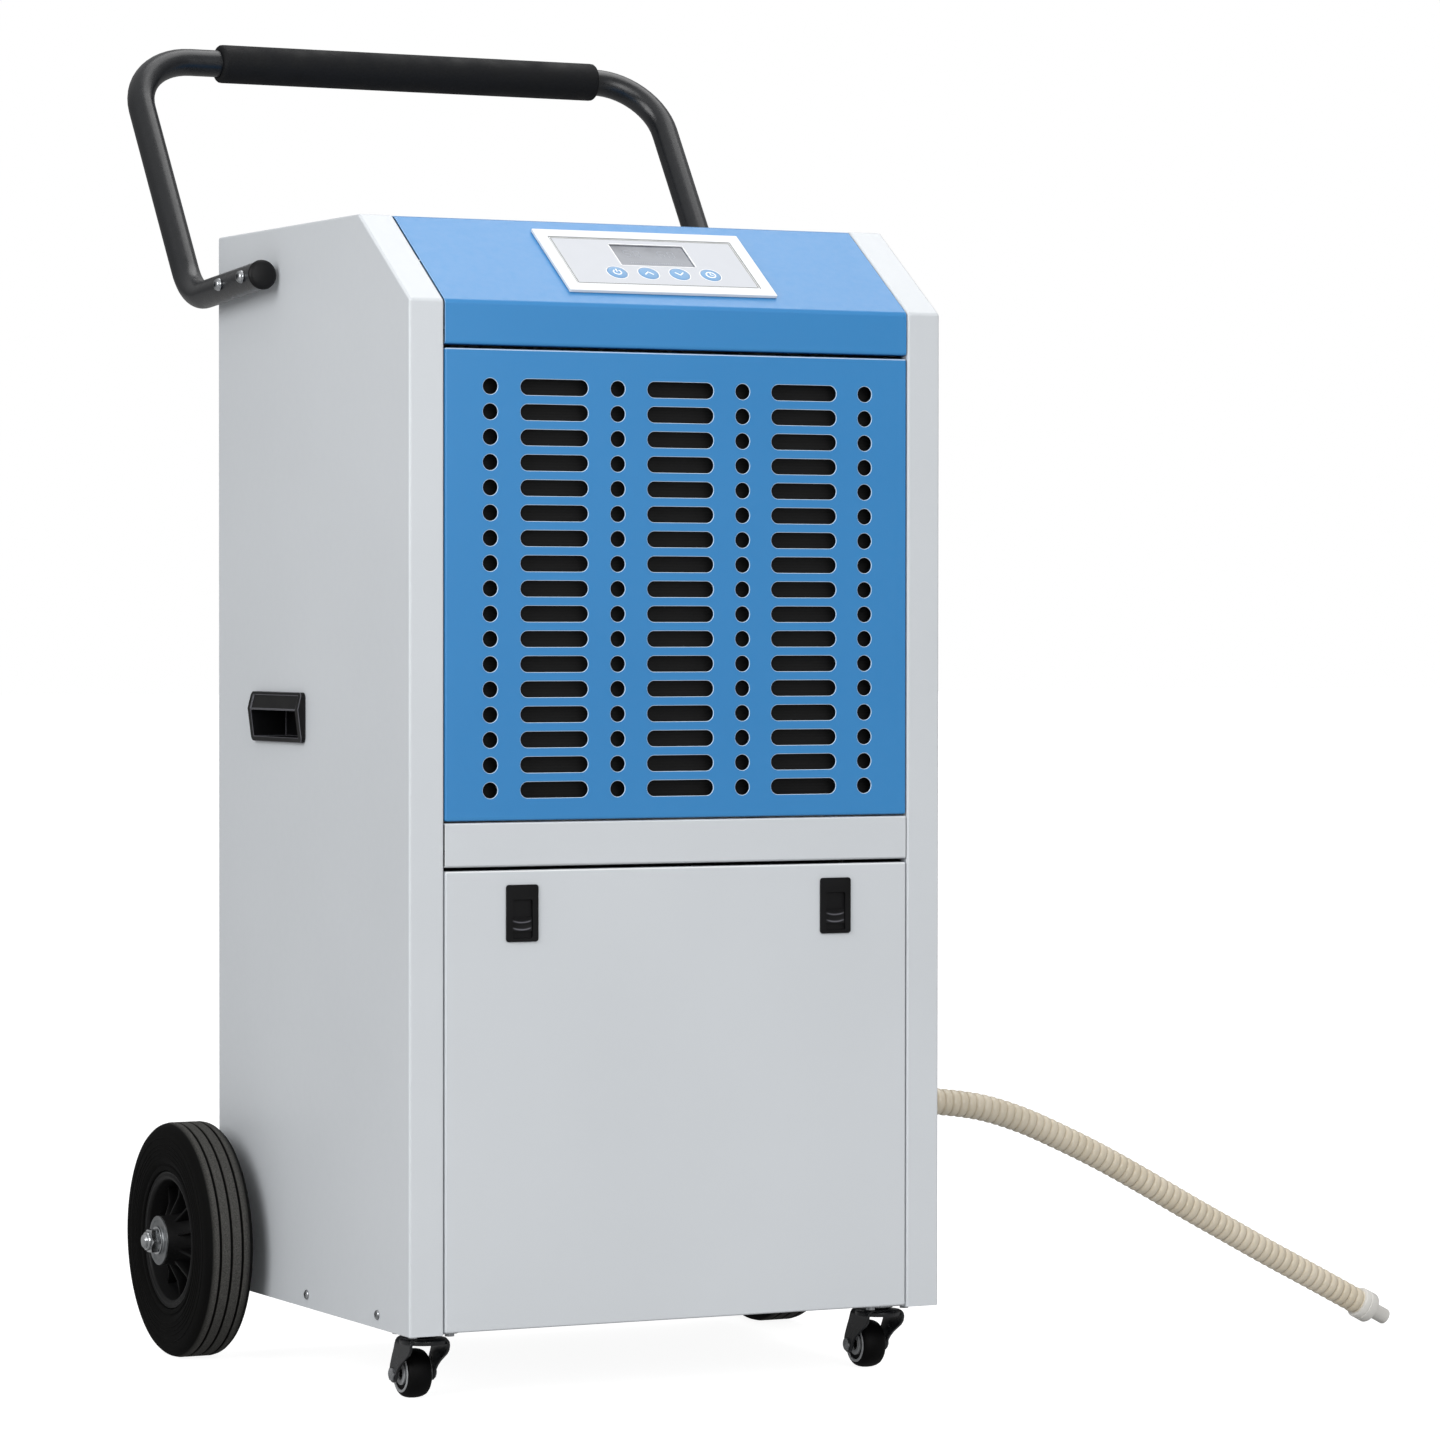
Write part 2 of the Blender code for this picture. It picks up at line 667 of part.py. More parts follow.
def make_handle():
    """The bent push handle, its foam sleeve, end plugs and the four bolts through its lower runs."""
    low_right = [(HANDLE_X, *HANDLE_END), (HANDLE_X, *HANDLE_LOW), (HANDLE_TOP_X, *HANDLE_TOP)]
    corners = mirrored(low_right, -1) + mirrored(low_right[::-1], 1)
    route = rounded_route(corners, (LOW_BEND_R, TOP_BEND_R, TOP_BEND_R, LOW_BEND_R))
    handle = as_mesh(tube("handle_tube", route, TUBE_R, "black_steel", 4))

    foam_half = (FOAM_X[1] - FOAM_X[0]) / 2
    bore = flat_radius(TUBE_R, 16) + GAP
    foam_profile = [
        (bore, foam_half), (FOAM_R - 0.003, foam_half), (FOAM_R, foam_half - 0.003),
        (FOAM_R, 0.003 - foam_half), (FOAM_R - 0.003, -foam_half), (bore, -foam_half),
    ]
    foam_at = (sum(FOAM_X) / 2, *HANDLE_TOP)
    turned("foam_grip", foam_profile, foam_at, TURN_TO["x"], "foam", 20, ring=True)

    run = Vector((0, HANDLE_END[0] - HANDLE_LOW[0], HANDLE_END[1] - HANDLE_LOW[1])).normalized()
    cap_turn = run.to_track_quat("Z", "Y").to_matrix().to_4x4()
    cap_profile = [(0, 0.0028), (0.0105, 0.0028), (0.0126, 0.0012), (0.0126, 0), (0, 0)]
    bolt_profile = [
        (0, 0.0040), (0.0040, 0.0037), (0.0054, 0.0018), (0.0054, 0), (BOLT_R, 0), (BOLT_R, -BOLT_L), (0, -BOLT_L),
    ]
    for label, side in SIDES:
        tube_end = Vector((side * HANDLE_X, *HANDLE_END))
        turned(f"{label}_handle_cap", cap_profile, tube_end + run * GAP, cap_turn, "black_plastic", 20)
        for place, y in zip(("front", "rear"), BOLT_Y):
            z = bolt_z(y)
            hole_at = (side * HANDLE_X, y, z)
            cut(handle, cylinder(f"{label}_{place}_tube_hole", BOLT_R + 0.0004, 0.04, hole_at, "x", None, 10))
            head_at = (side * (HANDLE_X + TUBE_R + GAP), y, z)
            outward = TURN_TO["x" if side > 0 else "-x"]
            turned(f"{label}_{place}_handle_bolt", bolt_profile, head_at, outward, "zinc", 10)


def make_rear_wheels():
    """The axle through the cabinet, and on each end a wheel, its washer and its lock nut."""
    cylinder("wheel_axle", AXLE_R, 2 * AXLE_END_X, (0, WHEEL_Y, WHEEL_R), "x", "zinc", 12)
    outer = flat_radius(WHEEL_R, TYRE_STEPS)
    half = TYRE_HALF_W
    outside = [(0.0590, 0.0180), (0.0680, half), (0.0900, half), (0.0975, half - 0.0035), (outer, half - 0.0100)]
    tyre = outside + [(r, -z) for r, z in outside[::-1]]
    bore = AXLE_R + 0.0004
    hub_face = 0.0265
    panel_face = PANEL_X + 0.0015 - WHEEL_X
    rim = [
        (bore, hub_face), (0.0205, hub_face), (0.0240, 0.0030), (0.0495, 0.0000), (0.0515, 0.0170),
        (0.0585, 0.0175), (0.0585, -0.0175), (0.0515, -0.0170), (0.0495, -0.0030), (0.0240, -0.0050),
        (0.0150, -0.0200), (0.0130, panel_face), (bore, panel_face),
    ]
    washer = [(bore, 0.0020), (0.0210, 0.0020), (0.0210, 0), (bore, 0)]
    for label, side in SIDES:
        outward = TURN_TO["x" if side > 0 else "-x"]
        at = (side * WHEEL_X, WHEEL_Y, WHEEL_R)
        turned(f"{label}_tyre", tyre, at, outward, "rubber", TYRE_STEPS, ring=True)
        turned(f"{label}_rim", rim, at, outward, "black_plastic", TYRE_STEPS, ring=True)
        washer_x = side * (WHEEL_X + hub_face + GAP)
        turned(f"{label}_axle_washer", washer, (washer_x, WHEEL_Y, WHEEL_R), outward, "zinc", 24, ring=True)
        nut_x = WHEEL_X + hub_face + 2 * GAP + 0.0020
        nut = cylinder(
            f"{label}_axle_nut",
            flat_radius(0.0095, 6),
            0.0080,
            (side * (nut_x + 0.0040), WHEEL_Y, WHEEL_R),
            "x",
            "zinc",
            6,
        )
        collar_at = (side * (nut_x + 0.0090), WHEEL_Y, WHEEL_R)
        join(nut, cylinder(f"{label}_nut_collar", 0.0080, 0.0040, collar_at, "x", None, 16))
        cut(nut, cylinder(f"{label}_nut_thread", bore, 0.04, collar_at, "x", None, 12))


def make_caster(label, side):
    """A swivel caster: its plate, its fork with the axle bolt, and its wheel behind the swivel."""
    x = side * CASTER_X
    plate_top = BASE_Z - GAP
    plate = box(
        f"{label}_caster_plate",
        (x - 0.022, CASTER_Y - 0.022, plate_top - 0.0020),
        (x + 0.022, CASTER_Y + 0.022, plate_top),
        "zinc",
    )
    join(plate, cylinder(f"{label}_caster_race", 0.0130, 0.0030, (x, CASTER_Y, plate_top - 0.0030), "z", None, 20))

    head = [
        (0, 0.0530), (0.0100, 0.0530), (0.0110, 0.0512), (0.0185, 0.0505),
        (0.0195, 0.0490), (0.0195, 0.0465), (0, 0.0465),
    ]
    fork = turned(f"{label}_caster_fork", head, (x, CASTER_Y, 0), TURN_TO["z"], "black_steel", 20)
    leg = [
        (-0.0130, 0.0480), (-0.0130, 0.0400), (0.0020, 0.0300), (0.0140, 0.0150), (0.0200, 0.0125),
        (0.0270, 0.0140), (0.0290, 0.0200), (0.0270, 0.0280), (0.0150, 0.0480),
    ]
    for i, leg_x in enumerate((-0.0140, 0.0140)):
        join(fork, prism(f"{label}_caster_leg_{i}", leg, 0.00125, None, (x + leg_x, CASTER_Y, 0)))
    bolt_half = [(0, 0.0195), (0.0035, 0.0195), (0.0055, 0.0180), (0.0055, 0.0148), (0.0028, 0.0148)]
    bolt = bolt_half + [(r, -z) for r, z in bolt_half[::-1]]
    hub_at = (x, CASTER_Y + CASTER_TRAIL, CASTER_R)
    join(fork, turned(f"{label}_caster_axle", bolt, hub_at, TURN_TO["x"], None, 10))

    outer = flat_radius(CASTER_R, CASTER_STEPS)
    half = CASTER_HALF_W
    outside = [(0.0032, half), (0.0155, half), (0.0185, half - 0.0020), (outer, half - 0.0060)]
    tread = outside + [(r, -z) for r, z in outside[::-1]]
    turned(f"{label}_caster_wheel", tread, hub_at, TURN_TO["x"], "rubber", CASTER_STEPS, ring=True)


def make_inside():
    """The cold circuit, the fan, the drip tray and the tank."""
    shelf_top = SHELF_Z + 0.0015
    shelf = box("divider_shelf", (-INNER_X, FLOOR_Y[0], SHELF_Z), (INNER_X, FLOOR_Y[1], shelf_top), "grey_steel")
    cut(shelf, cylinder("drain_pipe_hole", 0.0100, 0.02, (DRAIN_X, HOSE_Y, SHELF_Z), "z", None, 12))
    cut(shelf, cylinder("riser_hole", PIPE_R + 0.002, 0.02, (PIPE_X, PIPE_Y, SHELF_Z), "z", None, 12))

    for name, (front, back) in (("evaporator", EVAPORATOR_Y), ("condenser", CONDENSER_Y)):
        box(name, (-COIL_X, front, COIL_Z[0]), (COIL_X, back, COIL_Z[1]), "fins")
    tray = open_box(
        "drip_tray",
        (-TRAY_X, TRAY_Y[0], TRAY_Z[0]),
        (TRAY_X, TRAY_Y[1], TRAY_Z[1]),
        "white_plastic",
        (0, 0, 1),
        0.0020,
    )
    cut(tray, cylinder("tray_outlet", 0.0050, 0.02, (DRAIN_X, HOSE_Y, TRAY_Z[0]), "z", None, 10))

    shroud = open_box(
        "fan_shroud",
        (-TRAY_X, SHROUD_Y, TRAY_Z[0]),
        (TRAY_X, SHROUD_Y + SHROUD_L, SHROUD_TOP_Z),
        "grey_steel",
        (0, 1, 0),
    )
    cut(shroud, cylinder("fan_opening", FAN_R + 0.010, 0.02, (0, SHROUD_Y, FAN_Z), "y", None, 32))
    strap_x = TRAY_X - 0.0005
    join(shroud, box(
        "motor_strap", (-strap_x, STRAP_Y[0], FAN_Z - 0.025), (strap_x, STRAP_Y[1], FAN_Z + 0.025), None
    ))
    cut(shroud, cylinder("shaft_hole", 2 * SHAFT_R, 0.01, (0, sum(STRAP_Y) / 2, FAN_Z), "y", None, 12))

    motor = [
        (0, MOTOR_L), (SHAFT_R, MOTOR_L), (SHAFT_R, MOTOR_L - SHAFT_L), (MOTOR_R - 0.008, MOTOR_L - SHAFT_L),
        (MOTOR_R, MOTOR_L - SHAFT_L - 0.008), (MOTOR_R, 0.007), (MOTOR_R - 0.008, 0), (0, 0),
    ]
    motor_at = (0, STRAP_Y[1] + GAP + MOTOR_L - SHAFT_L, FAN_Z)
    turned("fan_motor", motor, motor_at, TURN_TO["-y"], "black_steel", 20)

    bore = SHAFT_R + 0.0004
    hub = [(bore, 0.018), (0.040, 0.018), (FAN_HUB_R, 0.014), (FAN_HUB_R, -0.018), (bore, -0.018)]
    fan = turned("fan_blade", hub, (0, SHROUD_Y + 0.032, FAN_Z), TURN_TO["-y"], "black_plastic", 20, ring=True)
    join(fan, fan_blades(fan.location))

    floor = BASE_Z + SHEET + GAP
    compressor = [
        (0, 0.255), (0.030, 0.252), (0.055, 0.240), (0.062, 0.222), (0.062, 0.030),
        (0.055, 0.012), (0.072, 0.008), (0.072, 0), (0, 0),
    ]
    turned("compressor", compressor, (*COMPRESSOR_AT, floor), TURN_TO["z"], "black_steel", 24)
    pipe = [
        (*COMPRESSOR_AT, floor + 0.2555), (*COMPRESSOR_AT, 0.390), (PIPE_X, PIPE_Y, 0.390),
        (PIPE_X, PIPE_Y, 0.700), (PIPE_X, -0.200, 0.700), (-COIL_X - 0.0005, -0.200, 0.700),
    ]
    tube("refrigerant_pipe", rounded_route(pipe, (0.025, 0.025, 0.030, 0.018), 3), PIPE_R, "copper")

    open_box(
        "water_tank",
        (-TANK_X, TANK_Y[0], floor),
        (TANK_X, TANK_Y[1], floor + TANK_H),
        "white_plastic",
        (0, 0, 1),
        0.0025,
    )


def fan_blades(at):
    """Five pitched blades, each lofted from three sections, as one cutter that the hub is joined to."""
    bm = bmesh.new()
    sections = ((0.038, 52, 0.052), (0.095, 34, 0.082), (FAN_R, 26, 0.092))
    for blade in range(5):
        around = Matrix.Rotation(math.tau * blade / 5, 3, "Y")
        rings = []
        for radius, pitch, chord in sections:
            lean = math.radians(pitch)
            along = Vector((math.cos(lean), math.sin(lean) * 0.42, 0)) * chord / 2
            across = Vector((-math.sin(lean), math.cos(lean), 0)) * 0.0012
            out = Vector((0, 0, radius))
            corners = (-along - across, along - across, along + across, across - along)
            rings.append([bm.verts.new(around @ (out + corner)) for corner in corners])
        for low, high in zip(rings, rings[1:]):
            for i in range(4):
                bm.faces.new((low[i], low[(i + 1) % 4], high[(i + 1) % 4], high[i]))
        bm.faces.new(rings[0][::-1])
        bm.faces.new(rings[-1])
    return add_object("fan_blades", mesh_of("fan_blades", bm), None, at)


def make_drain():
    """The way out for the water: an inner pipe, the spout in the side panel, the hose and its end connector."""
    hose_x, hose_z = HOSE_ROUTE[0]
    reach = 0.0150
    spout = [
        (0, 0.0040), (0.0165, 0.0040), (0.0170, 0.0030), (0.0170, 0), (0.0100, 0), (0.0100, -reach), (0, -reach),
    ]
    turned("drain_spout", spout, (PANEL_X + GAP, HOSE_Y, hose_z), TURN_TO["x"], "black_plastic", 20)

    inner = [(DRAIN_X, HOSE_Y, TRAY_Z[0] - GAP), (DRAIN_X, HOSE_Y, hose_z), (PANEL_X - reach, HOSE_Y, hose_z)]
    tube("drain_pipe", rounded_route(inner, (0.0185,), 4), 0.0070, "hose")

    route = smooth_route([Vector((x, HOSE_Y, z)) for x, z in HOSE_ROUTE], HOSE_STEPS)
    tube("drain_hose", route, HOSE_R, "hose", 3)

    ahead = (route[-1] - route[-2]).normalized()
    end_turn = ahead.to_track_quat("Z", "Y").to_matrix().to_4x4()
    end_profile = [
        (0, COLLAR_L + SPIGOT_L), (SPIGOT_R - 0.001, COLLAR_L + SPIGOT_L), (SPIGOT_R, COLLAR_L + SPIGOT_L - 0.001),
        (SPIGOT_R, COLLAR_L), (COLLAR_R - 0.001, COLLAR_L), (COLLAR_R, COLLAR_L - 0.001), (COLLAR_R, 0), (0, 0),
    ]
    turned("hose_end", end_profile, route[-1] + ahead * GAP, end_turn, "white_plastic", 16)


slope = bpy.data.objects.new("slope", None)
slope.location = (0, FRONT_Y, CREASE_Z)
slope.rotation_euler = (SLOPE_ANGLE, 0, 0)
parts.objects.link(slope)

make_cabinet()
make_controls()
make_door()
make_handle()
make_rear_wheels()
make_inside()
make_drain()
for name, hand in SIDES:
    make_grip(name, hand)
    make_caster(name, hand)
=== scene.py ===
# Commercial dehumidifier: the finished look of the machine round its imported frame.
# Metres, +Z up, front towards -Y, drain hose on the +X side.

import math

import bmesh
import bpy
from mathutils import Matrix, Vector


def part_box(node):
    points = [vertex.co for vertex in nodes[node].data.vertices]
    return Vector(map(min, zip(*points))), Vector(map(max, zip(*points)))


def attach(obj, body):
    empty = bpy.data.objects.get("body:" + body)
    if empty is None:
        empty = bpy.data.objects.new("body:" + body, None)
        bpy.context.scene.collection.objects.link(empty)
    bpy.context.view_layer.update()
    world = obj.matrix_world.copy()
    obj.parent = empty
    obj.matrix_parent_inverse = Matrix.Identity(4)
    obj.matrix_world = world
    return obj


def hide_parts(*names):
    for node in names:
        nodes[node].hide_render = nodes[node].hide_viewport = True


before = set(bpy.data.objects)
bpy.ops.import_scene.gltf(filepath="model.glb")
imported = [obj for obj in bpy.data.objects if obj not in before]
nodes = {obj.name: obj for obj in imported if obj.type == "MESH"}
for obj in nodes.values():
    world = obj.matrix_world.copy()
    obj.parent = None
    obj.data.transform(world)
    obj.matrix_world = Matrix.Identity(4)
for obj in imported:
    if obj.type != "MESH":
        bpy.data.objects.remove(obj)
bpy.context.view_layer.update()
scene = bpy.context.scene


studio = {
    "cameraAt": (-1.96917, -4.29680, 0.62694),
    "right": (0.893847, -0.448372, 0.001003),
    "up": (0.007038, 0.016268, 0.999843),
    "look": (0.448318, 0.893699, -0.017697),
    "lens": 136.93,
    "sensor": 36.0,
    "floorHalf": 40.0,
    "background": 1.0,
    "surround": 0.16,
    "zenith": 0.75,
    "floorGlow": 0.16,
    "floorSeen": 0.92,
}


def addNode(tree, kind, inputs=None, **settings):
    # one node with its settings; a socket given as an input is linked, a value is set
    node = tree.nodes.new(kind)
    for key, value in settings.items():
        setattr(node, key, value)
    for key, value in (inputs or {}).items():
        if isinstance(value, bpy.types.NodeSocket):
            tree.links.new(value, node.inputs[key])
        else:
            node.inputs[key].default_value = value
    return node


def linear(hexCode, alpha=1.0):
    # sRGB hex to the linear colour that the shaders take
    parts = [int(hexCode[i:i + 2], 16) / 255 for i in (1, 3, 5)]
    return (*[c / 12.92 if c <= 0.04045 else ((c + 0.055) / 1.055) ** 2.4 for c in parts], alpha)


camera = bpy.data.objects.new("camera", bpy.data.cameras.new("camera"))
scene.collection.objects.link(camera)
turn = Matrix((studio["right"], studio["up"], [-c for c in studio["look"]])).transposed()
camera.matrix_world = Matrix.Translation(studio["cameraAt"]) @ turn.to_4x4()
camera.data.lens = studio["lens"]
camera.data.sensor_width = studio["sensor"]
camera.data.clip_end = 200
scene.camera = camera
scene.view_settings.view_transform = "Standard"

world = bpy.data.worlds.new("studio")
scene.world = world
world.use_nodes = True
sky = world.node_tree
sky.nodes.clear()
height = addNode(sky, "ShaderNodeSeparateXYZ", {0: addNode(sky, "ShaderNodeTexCoord").outputs["Generated"]})
ramp = addNode(sky, "ShaderNodeMapRange", {
    "Value": height.outputs["Z"], "From Min": 0.0, "From Max": 0.9,
    "To Min": studio["surround"], "To Max": studio["zenith"],
})
soft = addNode(sky, "ShaderNodeBackground", {"Color": (1, 1, 1, 1), "Strength": ramp.outputs[0]})
plain = addNode(sky, "ShaderNodeBackground", {"Color": (1, 1, 1, 1), "Strength": studio["background"]})
seen = addNode(sky, "ShaderNodeLightPath")
both = addNode(sky, "ShaderNodeMixShader", {
    0: seen.outputs["Is Camera Ray"], 1: soft.outputs[0], 2: plain.outputs[0],
})
addNode(sky, "ShaderNodeOutputWorld", {"Surface": both.outputs[0]})

floorMesh = bpy.data.meshes.new("floor")
half = studio["floorHalf"]
corners = [(-half, -half, 0), (half, -half, 0), (half, half, 0), (-half, half, 0)]
floorMesh.from_pydata(corners, [], [(0, 1, 2, 3)])
floor = bpy.data.objects.new("floor", floorMesh)
scene.collection.objects.link(floor)
floorPaint = bpy.data.materials.new("paleStudioFloor")
floorPaint.use_nodes = True
shader = floorPaint.node_tree.nodes["Principled BSDF"]
shader.inputs["Base Color"].default_value = (0.3, 0.3, 0.3, 1)
shader.inputs["Roughness"].default_value = 0.9
shader.inputs["Specular IOR Level"].default_value = 0.1
shader.inputs["Emission Color"].default_value = (1, 1, 1, 1)
# the paper sweep is lit from below, so it burns out to white and throws less light back
path = addNode(floorPaint.node_tree, "ShaderNodeLightPath")
glow = addNode(floorPaint.node_tree, "ShaderNodeMapRange", {
    "Value": path.outputs["Is Camera Ray"], "To Min": studio["floorGlow"], "To Max": studio["floorSeen"],
})
floorPaint.node_tree.links.new(glow.outputs[0], shader.inputs["Emission Strength"])
floorMesh.materials.append(floorPaint)

lamps = {
    "overhead": {"at": (0.9, 0.5, 3.1), "aim": (0, -0.05, 0.6), "size": 2.0, "watts": 30},
    "topFront": {"at": (-0.3, -1.9, 3.2), "aim": (0, -0.1, 0.6), "size": 2.0, "watts": 4},
    "leftFill": {"at": (-3.4, -1.7, 1.9), "aim": (0, 0, 0.6), "size": 2.4, "watts": 89},
    "frontFill": {"at": (-0.3, -4.6, 2.1), "aim": (0, 0, 0.55), "size": 2.6, "watts": 90},
}
for name, lamp in lamps.items():
    light = bpy.data.lights.new(name, "AREA")
    light.size = lamp["size"]
    light.energy = lamp["watts"]
    holder = bpy.data.objects.new(name, light)
    scene.collection.objects.link(holder)
    way = Vector(lamp["aim"]) - Vector(lamp["at"])
    holder.matrix_world = Matrix.Translation(lamp["at"]) @ way.to_track_quat("-Z", "Y").to_matrix().to_4x4()
print("camera, floor and lights placed")


def newMaterial(name, colour, roughness, metallic=0.0, sockets=None):
    # a Principled material with its own tree; returns material, tree, shader and object coordinates
    made = bpy.data.materials.new(name)
    made.use_nodes = True
    tree = made.node_tree
    shader = tree.nodes["Principled BSDF"]
    shader.inputs["Base Color"].default_value = linear(colour)
    shader.inputs["Roughness"].default_value = roughness
    shader.inputs["Metallic"].default_value = metallic
    for key, value in (sockets or {}).items():
        shader.inputs[key].default_value = value
    place = tree.nodes.new("ShaderNodeTexCoord").outputs["Object"]
    return made, tree, shader, place


def tint(tree, shader, factor, under, over):
    # the base colour goes from one colour to another as the factor goes from 0 to 1
    mix = addNode(tree, "ShaderNodeMix", {0: factor, 6: under, 7: over}, data_type="RGBA")
    tree.links.new(mix.outputs[2], shader.inputs["Base Color"])
    return mix.outputs[2]


def colourBetween(tree, shader, factor, low, high, start=0.3, end=0.7):
    # the base colour runs between two hex colours as the factor runs from start to end
    ramp = addNode(tree, "ShaderNodeMapRange", {"Value": factor, "From Min": start, "From Max": end})
    return tint(tree, shader, ramp.outputs[0], linear(low), linear(high))


def roughBetween(tree, shader, factor, low, high, start=0.3, end=0.7):
    ramp = addNode(tree, "ShaderNodeMapRange", {
        "Value": factor, "From Min": start, "From Max": end, "To Min": low, "To Max": high,
    })
    tree.links.new(ramp.outputs[0], shader.inputs["Roughness"])


def bumpFrom(tree, shader, height, distance, strength=1.0):
    bump = addNode(tree, "ShaderNodeBump", {"Height": height, "Distance": distance, "Strength": strength})
    tree.links.new(bump.outputs[0], shader.inputs["Normal"])


def paintEdgeHighlight(tree, shader, body, edge):
    # a face attribute marks the edges that get a painted highlight, a paler tone standing in for light caught
    # on them
    thin = addNode(tree, "ShaderNodeAttribute", attribute_name="paintedEdgeHighlight")
    tint(tree, shader, thin.outputs["Fac"], body, linear(edge))


def awayFrom(tree, place, centre, axis):
    # distance from a line through the centre, along one axis
    moved = addNode(tree, "ShaderNodeMapping", {"Vector": place, "Location": [-c for c in centre]})
    flat = addNode(tree, "ShaderNodeVectorMath", {
        0: moved.outputs[0], 1: [0.0 if i == axis else 1.0 for i in range(3)],
    }, operation="MULTIPLY")
    return addNode(tree, "ShaderNodeVectorMath", {0: flat.outputs[0]}, operation="LENGTH").outputs["Value"]


def powderCoat(name, low, high, roughness, edge):
    # polyester powder coat on sheet steel: baked, so it has a fine orange peel about 1.4 mm
    # across and slow cloudy changes of tone; marked edges get a paler tone, a painted highlight
    made, tree, shader, place = newMaterial(name, low, roughness, sockets={"IOR": 1.50})
    cloud = addNode(tree, "ShaderNodeTexNoise", {"Vector": place, "Scale": 2.4, "Detail": 3.0})
    peel = addNode(tree, "ShaderNodeTexNoise", {"Vector": place, "Scale": 720.0, "Detail": 1.0})
    grit = addNode(tree, "ShaderNodeTexNoise", {"Vector": place, "Scale": 160.0, "Detail": 2.0})
    body = colourBetween(tree, shader, cloud.outputs[0], low, high, 0.35, 0.65)
    # marked edges take the edge colour: a painted highlight
    paintEdgeHighlight(tree, shader, body, edge)
    roughBetween(tree, shader, grit.outputs[0], roughness - 0.04, roughness + 0.04)
    bumpFrom(tree, shader, peel.outputs[0], 0.00006, 0.5)
    return made


def mouldedPlastic(name, low, high, roughness, grain=1500.0, depth=0.00004, edge=None):
    # injection-moulded plastic: spark-eroded mould grain of about 0.6 mm and faint flow marks;
    # marked edges and ridges can be given a paler tone, a painted highlight
    gloss = {"IOR": 1.46, "Specular IOR Level": 0.35}
    made, tree, shader, place = newMaterial(name, low, roughness, sockets=gloss)
    flow = addNode(tree, "ShaderNodeTexNoise", {
        "Vector": place, "Scale": 22.0, "Detail": 2.0, "Distortion": 0.8,
    })
    grains = addNode(tree, "ShaderNodeTexVoronoi", {"Vector": place, "Scale": grain})
    body = colourBetween(tree, shader, flow.outputs[0], low, high)
    if edge:
        paintEdgeHighlight(tree, shader, body, edge)
    roughBetween(tree, shader, flow.outputs[0], roughness - 0.05, roughness + 0.06)
    bumpFrom(tree, shader, grains.outputs[0], depth, 0.6)
    return made


def turnedMetal(name, low, high, roughness, axis, centre=(0, 0, 0), pitch=0.0005):
    # plated or machined steel: fine rings round the piece's own axis, with small smudges
    made, tree, shader, place = newMaterial(name, low, roughness, 1.0)
    rings = addNode(tree, "ShaderNodeTexNoise", {
        "W": awayFrom(tree, place, centre, axis), "Scale": 1 / pitch, "Detail": 2.0,
    }, noise_dimensions="1D")
    smudge = addNode(tree, "ShaderNodeTexNoise", {"Vector": place, "Scale": 90.0, "Detail": 3.0})
    colourBetween(tree, shader, smudge.outputs[0], low, high)
    roughBetween(tree, shader, smudge.outputs[0], roughness - 0.06, roughness + 0.10)
    bumpFrom(tree, shader, rings.outputs[0], 0.00001, 0.3)
    return made


def rubber(name, low, high, roughness, treadRadius=None, centre=(0, 0, 0)):
    # vulcanised solid rubber: matt, patches of bloom and a fine mould grain; where a tread radius
    # is given, everything beyond it from the axle line is scuffed to a dusty grey
    gloss = {"IOR": 1.52, "Specular IOR Level": 0.08}
    made, tree, shader, place = newMaterial(name, low, roughness, sockets=gloss)
    bloom = addNode(tree, "ShaderNodeTexNoise", {"Vector": place, "Scale": 26.0, "Detail": 4.0})
    grain = addNode(tree, "ShaderNodeTexNoise", {"Vector": place, "Scale": 1100.0, "Detail": 2.0})
    body = colourBetween(tree, shader, bloom.outputs[0], low, high, 0.35, 0.75)
    if treadRadius:
        scuff = addNode(tree, "ShaderNodeMapRange", {
            "Value": awayFrom(tree, place, centre, 0), "From Min": treadRadius,
            "From Max": treadRadius + 0.0012,
        })
        wear = addNode(tree, "ShaderNodeMath", {0: scuff.outputs[0], 1: grain.outputs[0]},
                       operation="MULTIPLY")
        tint(tree, shader, wear.outputs[0], body, linear("#5E5D5A"))
    roughBetween(tree, shader, bloom.outputs[0], roughness - 0.08, roughness + 0.10)
    bumpFrom(tree, shader, grain.outputs[0], 0.00008, 0.6)
    return made


def galvanised(name):
    # hot-dip galvanised sheet: zinc crystals 6 to 12 mm across, each a slightly other grey
    made, tree, shader, place = newMaterial(name, "#8F9496", 0.42, 1.0)
    crystals = addNode(tree, "ShaderNodeTexVoronoi", {"Vector": place, "Scale": 110.0, "Randomness": 1.0})
    tone = addNode(tree, "ShaderNodeSeparateColor", {0: crystals.outputs["Color"]})
    colourBetween(tree, shader, tone.outputs[0], "#7C8184", "#A9ADAF", 0.0, 1.0)
    roughBetween(tree, shader, tone.outputs[1], 0.32, 0.52, 0.0, 1.0)
    bumpFrom(tree, shader, crystals.outputs["Distance"], 0.00005, 0.4)
    return made


def stripes(name, low, high, metallic, roughness, axis, pitch):
    # a row of thin sheets or threads seen edge on, one every pitch along an axis
    made, tree, shader, place = newMaterial(name, low, roughness, metallic)
    scaled = addNode(tree, "ShaderNodeVectorMath", {
        0: place, 1: [1 / pitch if i == axis else 0.0 for i in range(3)],
    }, operation="DOT_PRODUCT")
    part = addNode(tree, "ShaderNodeMath", {0: scaled.outputs["Value"]}, operation="FRACT")
    # low colour between the sheets, high colour on their edges; for the coil fins the dark low colour is
    # painted shade in the deep gaps
    colourBetween(tree, shader, part.outputs[0], low, high, 0.35, 0.65)
    bumpFrom(tree, shader, part.outputs[0], pitch / 3, 0.8)
    return made
